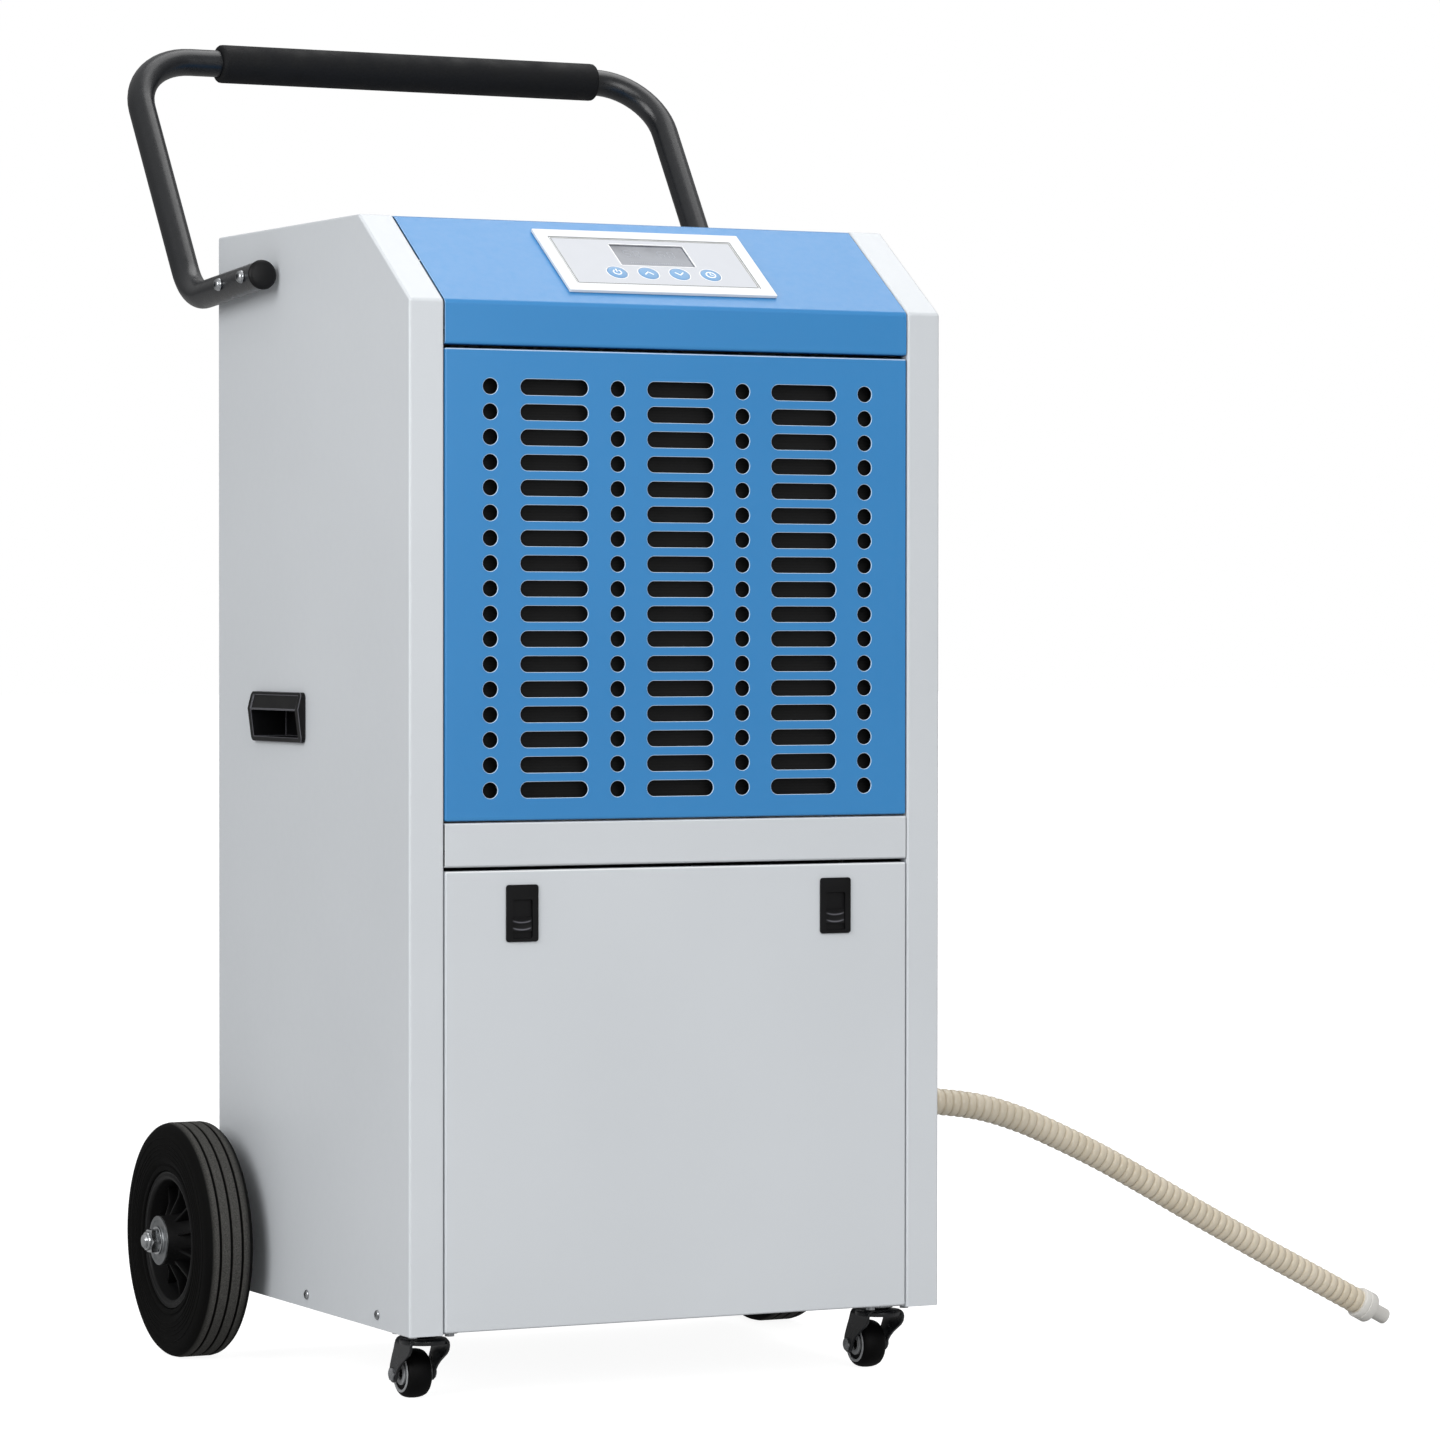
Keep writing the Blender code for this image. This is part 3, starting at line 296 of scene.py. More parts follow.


# the last colour of each coat and of the black ABS is a painted highlight for marked edges and bends
greyCoat = powderCoat("paleGreyPowderCoat", "#C5C9CD", "#CACED2", 0.42, "#E4E7E9")
blueCoat = powderCoat("midBluePowderCoat", "#2F7DB8", "#3482BD", 0.38, "#C9DAEA")
blackCoat = powderCoat("satinBlackPowderCoat", "#0C0E11", "#121418", 0.30, "#3A3C40")
blackAbs = mouldedPlastic("mouldedBlackAbs", "#070708", "#0C0C0E", 0.44, edge="#626268")
blackNylon = mouldedPlastic("glassFilledBlackNylon", "#050505", "#0A0A0B", 0.50, 1100.0)
for plastic in (blackAbs, blackNylon):
    plastic.node_tree.nodes["Principled BSDF"].inputs["Specular IOR Level"].default_value = 0.22
tyreRubber = rubber("solidTyreRubber", "#030303", "#090908", 0.78, 0.0986, (0, 0.086, 0.100))
casterRubber = rubber("casterTreadRubber", "#060606", "#0C0C0D", 0.50)
galvanisedSheet = galvanised("galvanisedSheet")
tankPlastic = mouldedPlastic("naturalPolypropylene", "#BFC0BC", "#C3C4C0", 0.45, 700.0)
# the dark colour is painted shade in the gaps between the fins, the pale one the fins' own aluminium
coilFins = stripes("aluminiumCoilFins", "#3A3C3E", "#B9BCBE", 0.9, 0.40, 0, 0.0022)
filterMesh = stripes("blackFilterMesh", "#030303", "#080808", 0.0, 0.85, 2, 0.0024)
copper = turnedMetal("drawnCopperPipe", "#B4623C", "#C97B52", 0.30, 2)
# its last colour is a painted edge highlight
compressorEnamel = powderCoat("compressorEnamel", "#141415", "#1B1B1D", 0.40, "#2B2B2D")
fibreBoard = mouldedPlastic("greenCircuitBoard", "#12502A", "#176334", 0.40, 600.0)
print("materials made")


def meshFrom(name, bm):
    mesh = bpy.data.meshes.new(name)
    bm.to_mesh(mesh)
    bm.free()
    return mesh


def plainMesh(obj):
    # the object's modifiers become its mesh; returns that mesh and removes the object
    bpy.context.view_layer.update()
    evaluated = obj.evaluated_get(bpy.context.evaluated_depsgraph_get())
    mesh = bpy.data.meshes.new_from_object(evaluated)
    bpy.data.objects.remove(obj)
    return mesh


def working(name, mesh):
    obj = bpy.data.objects.new(name + ".work", mesh)
    scene.collection.objects.link(obj)
    return obj


def addPiece(name, mesh, material, body, stands=(), smooth=35):
    # a finished piece: its material, smooth shading with sharp edges kept, its body and what it stands for
    mesh.name = name
    mesh.materials.clear()
    mesh.materials.append(material)
    for face in mesh.polygons:
        face.use_smooth = True
        face.material_index = 0
    if not mesh.has_custom_normals:
        mesh.set_sharp_from_angle(angle=math.radians(smooth))
    piece = bpy.data.objects.new(name, mesh)
    scene.collection.objects.link(piece)
    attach(piece, body)
    if stands:
        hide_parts(*stands)
    return piece


def thicken(obj, thickness, offset=-1.0):
    wall = obj.modifiers.new("sheet", "SOLIDIFY")
    wall.thickness = thickness
    wall.offset = offset
    wall.use_even_offset = True


def roundEdges(obj, width, segments=2, angle=40):
    edge = obj.modifiers.new("rounded", "BEVEL")
    edge.width = width
    edge.segments = segments
    edge.limit_method = "ANGLE"
    edge.angle_limit = math.radians(angle)
    edge.use_clamp_overlap = True


def combine(obj, other, operation):
    step = obj.modifiers.new("combined", "BOOLEAN")
    step.operation = operation
    step.object = other
    step.solver = "EXACT"


def subtract(obj, cutter):
    combine(obj, cutter, "DIFFERENCE")


def meshWithout(obj, *cutters):
    # the object's mesh with all its cuts made, and the cutters gone
    mesh = plainMesh(obj)
    for cutter in cutters:
        bpy.data.objects.remove(cutter)
    return mesh


def roundedMesh(mesh, width, segments=2, angle=50):
    work = working(mesh.name, mesh)
    roundEdges(work, width, segments, angle)
    return plainMesh(work)


def boxInto(bm, low, high, matrix=None):
    made = bmesh.ops.create_cube(bm, size=1.0)["verts"]
    for vert in made:
        vert.co = [low[i] + (vert.co[i] + 0.5) * (high[i] - low[i]) for i in range(3)]
    if matrix is not None:
        bmesh.ops.transform(bm, matrix=matrix, verts=made)
    return made


def revolved(bm, profile, steps, matrix, closed=False):
    # (radius, height) profile swept round local Z; poles are single points, an open end is left open
    rings = []
    for r, z in profile:
        if r < 1e-7:
            rings.append([bm.verts.new((0, 0, z))])
        else:
            rings.append([
                bm.verts.new((r * math.cos(math.tau * i / steps), r * math.sin(math.tau * i / steps), z))
                for i in range(steps)
            ])
    pairs = list(zip(rings, rings[1:]))
    if closed:
        pairs.append((rings[-1], rings[0]))
    for low, high in pairs:
        for i in range(steps):
            j = (i + 1) % steps
            corners = [low[i % len(low)], low[j % len(low)], high[j % len(high)], high[i % len(high)]]
            unique = [v for k, v in enumerate(corners) if v not in corners[:k]]
            if len(unique) > 2:
                bm.faces.new(unique)
    made = [v for ring in rings for v in ring]
    bmesh.ops.transform(bm, matrix=matrix, verts=made)
    return made


def outlinePrism(bm, outline, low, high, matrix=Matrix.Identity(4)):
    # a flat (x, y) outline made solid between two heights
    bottom = [bm.verts.new((x, y, low)) for x, y in outline]
    top = [bm.verts.new((x, y, high)) for x, y in outline]
    bm.faces.new(bottom[::-1])
    bm.faces.new(top)
    for i in range(len(outline)):
        j = (i + 1) % len(outline)
        bm.faces.new((bottom[i], bottom[j], top[j], top[i]))
    bmesh.ops.transform(bm, matrix=matrix, verts=bottom + top)
    return bottom + top


def roundedOutline(width, depth, radius, steps=6, centre=(0, 0)):
    # a rectangle with rounded corners, anticlockwise
    points = []
    for k, (sx, sy) in enumerate(((1, 1), (-1, 1), (-1, -1), (1, -1))):
        cx, cy = sx * (width / 2 - radius), sy * (depth / 2 - radius)
        for i in range(steps + 1):
            angle = math.pi / 2 * (k + i / steps)
            points.append((centre[0] + cx + radius * math.cos(angle),
                           centre[1] + cy + radius * math.sin(angle)))
    return points


def outward(bm):
    bmesh.ops.remove_doubles(bm, verts=bm.verts, dist=1e-6)
    bmesh.ops.recalc_face_normals(bm, faces=bm.faces)


def cutterOf(bm):
    bmesh.ops.recalc_face_normals(bm, faces=bm.faces)
    return working("cutter", meshFrom("cutter", bm))


def prismMesh(name, outline, low, high, matrix=Matrix.Identity(4)):
    bm = bmesh.new()
    outlinePrism(bm, outline, low, high, matrix)
    outward(bm)
    return meshFrom(name, bm)


def prismCutter(outline, low, high, matrix=Matrix.Identity(4)):
    bm = bmesh.new()
    outlinePrism(bm, outline, low, high, matrix)
    return cutterOf(bm)


def revolvedPiece(name, profile, steps, matrix, closed=False):
    bm = bmesh.new()
    revolved(bm, profile, steps, matrix, closed)
    outward(bm)
    return meshFrom(name, bm)


def together(name, *meshes):
    bm = bmesh.new()
    for mesh in meshes:
        bm.from_mesh(mesh)
        bpy.data.meshes.remove(mesh)
    return meshFrom(name, bm)


def hexagon(corner):
    return [(corner * math.cos(math.pi / 3 * i), corner * math.sin(math.pi / 3 * i)) for i in range(6)]


def facing(place, direction):
    # local Z turned to a direction, at a place
    turn = Vector(direction).to_track_quat("Z", "Y").to_matrix().to_4x4()
    return Matrix.Translation(place) @ turn


def facingFront(x, y, z):
    # local x runs along X, local y up Z and local z out of the front
    return Matrix.Translation((x, y, z)) @ Matrix.Rotation(math.pi / 2, 4, "X")


def facingSide(place, side):
    # local x runs along the side panel, local y up Z and local z out of the panel
    return Matrix.Translation(place) @ Matrix(((0, 0, side), (-side, 0, 0), (0, 1, 0))).to_4x4()


sides = (("left", -1), ("right", 1))
cabinet = {
    "halfWidth": 0.240,
    "front": -0.300,
    "back": 0.114,
    "base": 0.058,
    "crease": 0.884,
    "top": 0.958,
    "slopeTop": -0.196,
    "strip": 0.030,
    "fold": 0.0112,
    "sheet": 0.0012,
    "seam": 0.0010,
    "inset": 0.0005,
    "bend": 0.0022,
}
slopeAngle = math.atan2(cabinet["top"] - cabinet["crease"], cabinet["slopeTop"] - cabinet["front"])
slopePlane = Matrix.Translation((0, cabinet["front"], cabinet["crease"]))
slopePlane = slopePlane @ Matrix.Rotation(slopeAngle, 4, "X")
stripX = cabinet["halfWidth"] - cabinet["strip"]
coverX = stripX - cabinet["seam"]


hose = {
    "planeY": -0.190,
    "route": (
        (0.2446, 0.2190), (0.2720, 0.2188), (0.3000, 0.2170), (0.3420, 0.2105), (0.3820, 0.1982),
        (0.4220, 0.1812), (0.4635, 0.1615), (0.5090, 0.1375), (0.5510, 0.1145), (0.5935, 0.0918),
        (0.6350, 0.0698), (0.6780, 0.0478), (0.7278, 0.0220),
    ),
    "length": 0.528,
    "diameter": 0.023,
    "pitch": 0.0077,
    "groove": 0.0014,
    "around": 36,
    "perRidge": 8,
}


def smoothRoute(points, steps):
    # Catmull-Rom curve through the points
    ends = [2 * points[0] - points[1], *points, 2 * points[-1] - points[-2]]
    route = []
    for a, b, c, d in zip(ends, ends[1:], ends[2:], ends[3:]):
        for i in range(steps):
            t = i / steps
            route.append(0.5 * (2 * b + (c - a) * t + (2 * a - 5 * b + 4 * c - d) * t**2
                                + (3 * b - a - 3 * c + d) * t**3))
    route.append(points[-1])
    return route


def evenPoints(route, count):
    # the same line, with points at equal distances along it
    runs = [(b - a).length for a, b in zip(route, route[1:])]
    total = sum(runs)
    points, i, done = [], 0, 0.0
    for k in range(count + 1):
        want = total * k / count
        while i < len(runs) - 1 and done + runs[i] < want:
            done += runs[i]
            i += 1
        points.append(route[i].lerp(route[i + 1], min(1.0, (want - done) / runs[i])))
    return points, total


def hoseMesh(route):
    # round ridges with narrow grooves between them, and flat ends
    bm = bmesh.new()
    step = hose["pitch"] / hose["perRidge"]
    points, total = evenPoints(route, round(sum((b - a).length for a, b in zip(route, route[1:])) / step))
    rings = []
    across = Vector((0, 1, 0))
    for k, point in enumerate(points):
        ahead = (points[min(k + 1, len(points) - 1)] - points[max(k - 1, 0)]).normalized()
        over = ahead.cross(across)
        wave = abs(math.cos(math.pi * k / hose["perRidge"])) ** 0.55
        radius = hose["diameter"] / 2 - hose["groove"] * (1 - wave)
        rings.append([
            bm.verts.new(point + radius * (math.cos(a) * across + math.sin(a) * over))
            for a in (math.tau * i / hose["around"] for i in range(hose["around"]))
        ])
    for low, high in zip(rings, rings[1:]):
        for i in range(hose["around"]):
            j = (i + 1) % hose["around"]
            bm.faces.new((low[i], low[j], high[j], high[i]))
    bm.faces.new(rings[0][::-1])
    bm.faces.new(rings[-1])
    outward(bm)
    return meshFrom("drainHose", bm), total


def hosePlastic():
    # corrugated soft PVC hose, extruded and blown: cream and slightly glossy, with painted shade darkening
    # the grooves
    made, tree, shader, place = newMaterial("creamCorrugatedPvc", "#D6CDBA", 0.36, sockets={
        "IOR": 1.50, "Subsurface Weight": 0.08, "Subsurface Radius": (0.004, 0.003, 0.002),
    })
    grooveShadeGeometry = addNode(tree, "ShaderNodeNewGeometry")
    cloud = addNode(tree, "ShaderNodeTexNoise", {"Vector": place, "Scale": 30.0, "Detail": 3.0})
    tone = colourBetween(tree, shader, cloud.outputs[0], "#D0C6B2", "#DCD3C2")
    # low pointiness marks the grooves, which are darkened to a yellow-brown: painted shade
    rim = addNode(tree, "ShaderNodeMapRange", {
        "Value": grooveShadeGeometry.outputs["Pointiness"], "From Min": 0.40, "From Max": 0.56,
    })
    tint(tree, shader, rim.outputs[0], linear("#A5967A"), tone)
    roughBetween(tree, shader, cloud.outputs[0], 0.28, 0.42)
    return made


hoseRoute = smoothRoute([Vector((x, hose["planeY"], z)) for x, z in hose["route"]], 12)
hoseShape, hoseRun = hoseMesh(hoseRoute)
hosePiece = addPiece("drainHose", hoseShape, hosePlastic(), "cabinet", ["drain_hose"], 60)

connector = {
    "collarRadius": 0.0138,
    "collarLength": 0.0145,
    "spigotRadius": 0.0070,
    "spigotLength": 0.0188,
    "bore": 0.0052,
    "gap": 0.0003,
}


def connectorMesh():
    r, length = connector["collarRadius"], connector["collarLength"]
    s, tip = connector["spigotRadius"], connector["collarLength"] + connector["spigotLength"]
    bore = connector["bore"]
    profile = [
        (0, 0), (r - 0.0010, 0), (r - 0.0003, 0.0003), (r, 0.0010), (r, 0.0048), (r - 0.0005, 0.0052),
        (r - 0.0005, 0.0060), (r, 0.0064), (r, length - 0.0014), (r - 0.0005, length - 0.0004),
        (r - 0.0014, length), (s + 0.0012, length), (s + 0.0003, length + 0.0003), (s, length + 0.0012),
        (s, tip - 0.0012), (s - 0.0004, tip - 0.0003), (s - 0.0009, tip), (bore + 0.0002, tip),
        (bore, tip - 0.0004), (bore, length + 0.0040), (0, length + 0.0040),
    ]
    ahead = (hoseRoute[-1] - hoseRoute[-5]).normalized()
    at = facing(hoseRoute[-1] + ahead * connector["gap"], ahead)
    return revolvedPiece("hoseConnector", profile, 48, at)


connectorPlastic = mouldedPlastic("paleGreyMouldedPvc", "#CFCDC8", "#D8D6D1", 0.34, 900.0, 0.00002)
connectorPiece = addPiece(
    "hoseConnector", connectorMesh(), connectorPlastic, "cabinet", ["hose_end"], 30,
)
evenPoints(hoseRoute, 60)[0]
print(f"hose made, {hoseRun:.4f} m")


def roundFolds(bm, radius, segments=4):
    # every fold of an open sheet becomes a bend
    folds = [e for e in bm.edges if len(e.link_faces) == 2 and e.calc_face_angle(0) > 0.35]
    bmesh.ops.bevel(bm, geom=folds, offset=radius, segments=segments, profile=0.5, affect="EDGES",
                    clamp_overlap=True)


def sheetWork(name, bm, radius=None, thickness=None):
    bmesh.ops.remove_doubles(bm, verts=bm.verts, dist=1e-6)
    roundFolds(bm, radius or cabinet["bend"])
    work = working(name, meshFrom(name, bm))
    thicken(work, thickness or cabinet["sheet"])
    return work


def weighted(mesh):
    # each corner takes the normal of the biggest face it touches within 50 degrees, so flat sheet
    # stays flat and only the narrow rounded strips turn the light
    around = [[] for _ in mesh.vertices]
    for face in mesh.polygons:
        for index in face.vertices:
            around[index].append(face)
    corners = []
    for face in mesh.polygons:
        for index in face.vertices:
            near = [other for other in around[index] if other.normal.dot(face.normal) > 0.64]
            big = max(near, key=lambda other: other.area, default=face)
            if big.area > 0.00002:
                corners.append(big.normal.copy())
            else:
                total = sum((other.normal * other.area for other in near), Vector())
                corners.append(total.normalized() if total.length > 1e-12 else face.normal.copy())
    for face in mesh.polygons:
        face.use_smooth = True
    mesh.normals_split_custom_set(corners)
    return mesh


def roundedWithEdgeHighlights(work, width, segments, angle, value=1.0, lift=None):
    # bevels the work and marks the bevel strips, and any strip turned up and forward, for a painted highlight
    # where light would catch them
    mesh = plainMesh(work)
    mesh.materials.clear()
    for _ in range(2):
        mesh.materials.append(None)
    for face in mesh.polygons:
        face.material_index = 0
    work = working("edged", mesh)
    roundEdges(work, width, segments, angle)
    work.modifiers["rounded"].material = 1
    mesh = weighted(plainMesh(work))
    highlightLayer = mesh.attributes.new("paintedEdgeHighlight", "FLOAT", "FACE")
    for face in mesh.polygons:
        # strips turned up and forward get the lift value: a painted highlight on bends facing the overhead
        # light
        turned = lift is not None and 0.30 < face.normal.z < 0.98 and face.normal.y < -0.1
        highlightLayer.data[face.index].value = value if face.material_index == 1 else (lift if turned else 0.0)
    return mesh


grips = {
    "y": -0.028,
    "z": 0.548,
    "size": (0.112, 0.042),
}
handleBolts = {
    "y": (-0.010, 0.041),
    "end": (-0.026, 0.9178),
    "low": (0.134, 0.906),
}


def sidePanel(label, side):
    half, front, back = cabinet["halfWidth"], cabinet["front"], cabinet["back"]
    base, crease, top, slopeTop = cabinet["base"], cabinet["crease"], cabinet["top"], cabinet["slopeTop"]
    fold = cabinet["fold"]
    outline = [(front, base), (front, crease), (slopeTop, top), (back, top), (back, base)]
    inner = [
        (front + fold, base),
        (front + fold, crease + fold * math.tan(slopeAngle / 2 - math.pi / 4)),
        (slopeTop + fold * math.tan(slopeAngle / 2), top - fold),
        (back - fold, top - fold),
        (back - fold, base),
    ]
    bm = bmesh.new()
    rows = [
        [bm.verts.new((side * x, y, z)) for y, z in path]
        for x, path in ((half, outline), (stripX, outline), (stripX, inner))
    ]
    faces = [rows[0]]
    for near, far in zip(rows, rows[1:]):
        faces += [(near[i + 1], near[i], far[i], far[i + 1]) for i in range(len(outline) - 1)]
    for face in faces:
        bm.faces.new(face if side < 0 else face[::-1])
    work = sheetWork(label + "Panel", bm)
    holes = bmesh.new()
    halfY, halfZ = grips["size"][0] / 2 - 0.0036, grips["size"][1] / 2 - 0.0022
    x = side * half
    boxInto(holes, (x - 0.01, grips["y"] - halfY, grips["z"] - halfZ),
            (x + 0.01, grips["y"] + halfY, grips["z"] + halfZ))
    cutter = cutterOf(holes)
    subtract(work, cutter)
    roundEdges(work, 0.0003, 1, 60)
    mesh = weighted(meshWithout(work, cutter))
    addPiece(label + "SidePanel", mesh, greyCoat, "cabinet", [label + "_side_panel"])


def foldedStrip(name, path, material, node, radius, lift=None):
    bm = bmesh.new()
    rows = [[bm.verts.new((x, y, z)) for x in (-coverX, coverX)] for y, z in path]
    for low, high in zip(rows, rows[1:]):
        bm.faces.new((low[0], low[1], high[1], high[0]))
    # the folds' bevel strips, and upturned strips where a lift is given, get a painted highlight
    mesh = roundedWithEdgeHighlights(sheetWork(name, bm, radius), 0.0003, 1, 60, 0.4, lift)
    addPiece(name, mesh, material, "cabinet", [node])


def panWork(name, low, high, openSide):
    # a pan of folded sheet with its open side left off
    bm = bmesh.new()
    boxInto(bm, low, high)
    bmesh.ops.recalc_face_normals(bm, faces=bm.faces)
    bmesh.ops.delete(bm, geom=[f for f in bm.faces if f.normal.dot(Vector(openSide)) > 0.9], context="FACES")
    return sheetWork(name, bm, 0.0018)


perforation = {
    "front": {
        "Rows": 17, "Row Pitch": 0.0202, "Top": 0.816, "Plane": -0.2995, "Depth": 0.008,
        "Slots": 3, "Slot Pitch": 0.113, "Slot Width": 0.060, "Slot Height": 0.013,
        "Holes": 4, "Hole Pitch": 0.113, "Hole Size": 0.0130,
    },
    "back": {
        "Rows": 12, "Row Pitch": 0.022, "Top": 0.776, "Plane": 0.114, "Depth": 0.010,
        "Slots": 3, "Slot Pitch": 0.10, "Slot Width": 0.080, "Slot Height": 0.008,
        "Holes": 0, "Hole Pitch": 0.10, "Hole Size": 0.006,
    },
}


def newTree(name, floats=(), counts=()):
    tree = bpy.data.node_groups.new(name, "GeometryNodeTree")
    tree.interface.new_socket("Geometry", in_out="INPUT", socket_type="NodeSocketGeometry")
    for key in counts:
        tree.interface.new_socket(key, in_out="INPUT", socket_type="NodeSocketInt")
    for key in floats:
        tree.interface.new_socket(key, in_out="INPUT", socket_type="NodeSocketFloat")
    tree.interface.new_socket("Material", in_out="INPUT", socket_type="NodeSocketMaterial")
    tree.interface.new_socket("Geometry", in_out="OUTPUT", socket_type="NodeSocketGeometry")
    return tree, tree.nodes.new("NodeGroupInput").outputs


def endTree(tree, geometry, material):
    real = addNode(tree, "GeometryNodeRealizeInstances", {0: geometry})
    painted = addNode(tree, "GeometryNodeSetMaterial", {"Geometry": real.outputs[0], "Material": material})
    addNode(tree, "NodeGroupOutput", {0: painted.outputs[0]})


def useTree(work, tree, values):
    # each input is set by its socket's identifier
    step = work.modifiers.new(tree.name, "NODES")
    step.node_group = tree
    for item in tree.interface.items_tree:
        if item.item_type == "SOCKET" and item.in_out == "INPUT" and item.name in values:
            step[item.identifier] = values[item.name]


def perforationTree():
    tree, given = newTree(
        "punchedOpenings",
        ("Row Pitch", "Top", "Plane", "Depth", "Slot Pitch", "Slot Width", "Slot Height", "Hole Pitch",
         "Hole Size"),
        ("Rows", "Slots", "Holes"),
    )

    def punch(size, width, pitch, count):
        # one row of punches: a cylinder along Y, pulled out to a slot of the asked width
        radius = addNode(tree, "ShaderNodeMath", {0: size, 1: 0.5}, operation="MULTIPLY")
        punchBody = addNode(tree, "GeometryNodeMeshCylinder", {
            "Vertices": 34, "Radius": radius.outputs[0], "Depth": given["Depth"],
        })
        laid = addNode(tree, "GeometryNodeTransform", {
            0: punchBody.outputs["Mesh"], "Rotation": (math.pi / 2, 0, 0),
        })
        position = addNode(tree, "GeometryNodeInputPosition")
        place = addNode(tree, "ShaderNodeSeparateXYZ", {0: position.outputs[0]})
        sign = addNode(tree, "ShaderNodeMath", {0: place.outputs["X"]}, operation="SIGN")
        spare = addNode(tree, "ShaderNodeMath", {0: width, 1: size}, operation="SUBTRACT")
        reach = addNode(tree, "ShaderNodeMath", {0: spare.outputs[0], 1: 0.5}, operation="MULTIPLY")
        pull = addNode(tree, "ShaderNodeMath", {0: sign.outputs[0], 1: reach.outputs[0]},
                       operation="MULTIPLY")
        pulled = addNode(tree, "GeometryNodeSetPosition", {
            "Geometry": laid.outputs[0],
            "Offset": addNode(tree, "ShaderNodeCombineXYZ", {"X": pull.outputs[0]}).outputs[0],
        })
        spaces = addNode(tree, "ShaderNodeMath", {0: count, 1: 1.0}, operation="SUBTRACT")
        span = addNode(tree, "ShaderNodeMath", {0: spaces.outputs[0], 1: pitch}, operation="MULTIPLY")
        first = addNode(tree, "ShaderNodeMath", {0: span.outputs[0], 1: -0.5}, operation="MULTIPLY")
        start = addNode(tree, "ShaderNodeCombineXYZ", {
            "X": first.outputs[0], "Y": given["Plane"], "Z": given["Top"],
        })
        row = addNode(tree, "GeometryNodeMeshLine", {
            "Count": count, "Start Location": start.outputs[0],
            "Offset": addNode(tree, "ShaderNodeCombineXYZ", {"X": pitch}).outputs[0],
        })
        return addNode(tree, "GeometryNodeInstanceOnPoints", {
            "Points": row.outputs[0], "Instance": pulled.outputs[0],
        })

    slots = punch(given["Slot Height"], given["Slot Width"], given["Slot Pitch"], given["Slots"])
    holes = punch(given["Hole Size"], given["Hole Size"], given["Hole Pitch"], given["Holes"])
    both = addNode(tree, "GeometryNodeJoinGeometry", {0: slots.outputs[0]})
    tree.links.new(holes.outputs[0], both.inputs[0])
    drop = addNode(tree, "ShaderNodeMath", {0: given["Row Pitch"], 1: -1.0}, operation="MULTIPLY")
    rows = addNode(tree, "GeometryNodeMeshLine", {
        "Count": given["Rows"],
        "Offset": addNode(tree, "ShaderNodeCombineXYZ", {"Z": drop.outputs[0]}).outputs[0],
    })
    grid = addNode(tree, "GeometryNodeInstanceOnPoints", {
        "Points": rows.outputs[0], "Instance": both.outputs[0],
    })
    punches = addNode(tree, "GeometryNodeRealizeInstances", {0: grid.outputs[0]})
    cut = addNode(tree, "GeometryNodeMeshBoolean",
                  {"Mesh 1": given["Geometry"], "Mesh 2": punches.outputs[0]},
                  operation="DIFFERENCE", solver="EXACT")
    endTree(tree, cut.outputs["Mesh"], given["Material"])
    return tree


punchTree = perforationTree()


def perforatedPanel(name, work, values, material, node):
    useTree(work, punchTree, {**values, "Material": material})
    # bevelled punch edges and the upturned top bend get a painted highlight
    mesh = roundedWithEdgeHighlights(work, 0.0004, 2, 60, 0.9, 0.75)
    addPiece(name, mesh, material, "cabinet", [node])


latch = {
    "x": 0.142,
    "z": 0.394,
    "size": (0.0285, 0.046),
    "proud": 0.0018,
    "pocket": (0.0178, -0.0205, 0.0110, 0.0026),
    "pad": (0.017, 0.011),
    "padDrop": 0.009,
    "padThick": 0.0023,
    "padSunk": 0.0005,
    "scoop": 0.0009,
    "ridges": (0.0030, -0.0027),
    "ridgeHigh": 0.0008,
}
# how high each front and back sheet stands, and how deep its folded edges go
sheets = {
    "cover": {"low": 0.849, "fold": 0.0115, "backFold": 0.0135, "bend": 0.0028},
    "crossbar": {"low": 0.4315, "high": 0.4670, "fold": 0.0105, "bend": 0.0020},
    "grille": {"low": 0.4685, "high": 0.8460, "fold": 0.0105},
    "back": {"low": 0.0595, "high": 0.9430, "fold": 0.0120},
    "door": {"low": 0.0595, "high": 0.4285, "fold": 0.0120},
    "latchHole": {"halfWidth": 0.01305, "low": 0.3722, "high": 0.4158},
}


def topCover():
    front, back, top = cabinet["front"] + cabinet["inset"], cabinet["back"], cabinet["top"]
    cover, inset = sheets["cover"], cabinet["inset"]
    crease = cabinet["crease"] - inset / math.cos(slopeAngle) + inset * math.tan(slopeAngle)
    path = [
        (front + cover["fold"], cover["low"]), (front, cover["low"]), (front, crease),
        (cabinet["slopeTop"] + inset * math.tan(slopeAngle / 2), top - inset),
        (back - inset, top - inset), (back - inset, top - cover["backFold"]),
    ]
    foldedStrip("slopedTopCover", path, blueCoat, "top_cover", cover["bend"])


def crossbar():
    bar, front = sheets["crossbar"], cabinet["front"] + cabinet["inset"]
    path = [(front + bar["fold"], bar["low"]), (front, bar["low"]), (front, bar["high"]),
            (front + bar["fold"], bar["high"])]
    foldedStrip("whiteCrossbar", path, greyCoat, "crossbar", bar["bend"], 0.5)


def inletGrille():
    grille, front = sheets["grille"], cabinet["front"] + cabinet["inset"]
    low, high = (-coverX, front, grille["low"]), (coverX, front + grille["fold"], grille["high"])
    pan = panWork("inletGrille", low, high, (0, 1, 0))
    perforatedPanel("inletGrille", pan, perforation["front"], blueCoat, "grille_panel")


def backPanel():
    sheet, back = sheets["back"], cabinet["back"] - cabinet["inset"]
    low, high = (-coverX, back - sheet["fold"], sheet["low"]), (coverX, back, sheet["high"])
    pan = panWork("backPanel", low, high, (0, -1, 0))
    perforatedPanel("backPanel", pan, perforation["back"], greyCoat, "back_panel")


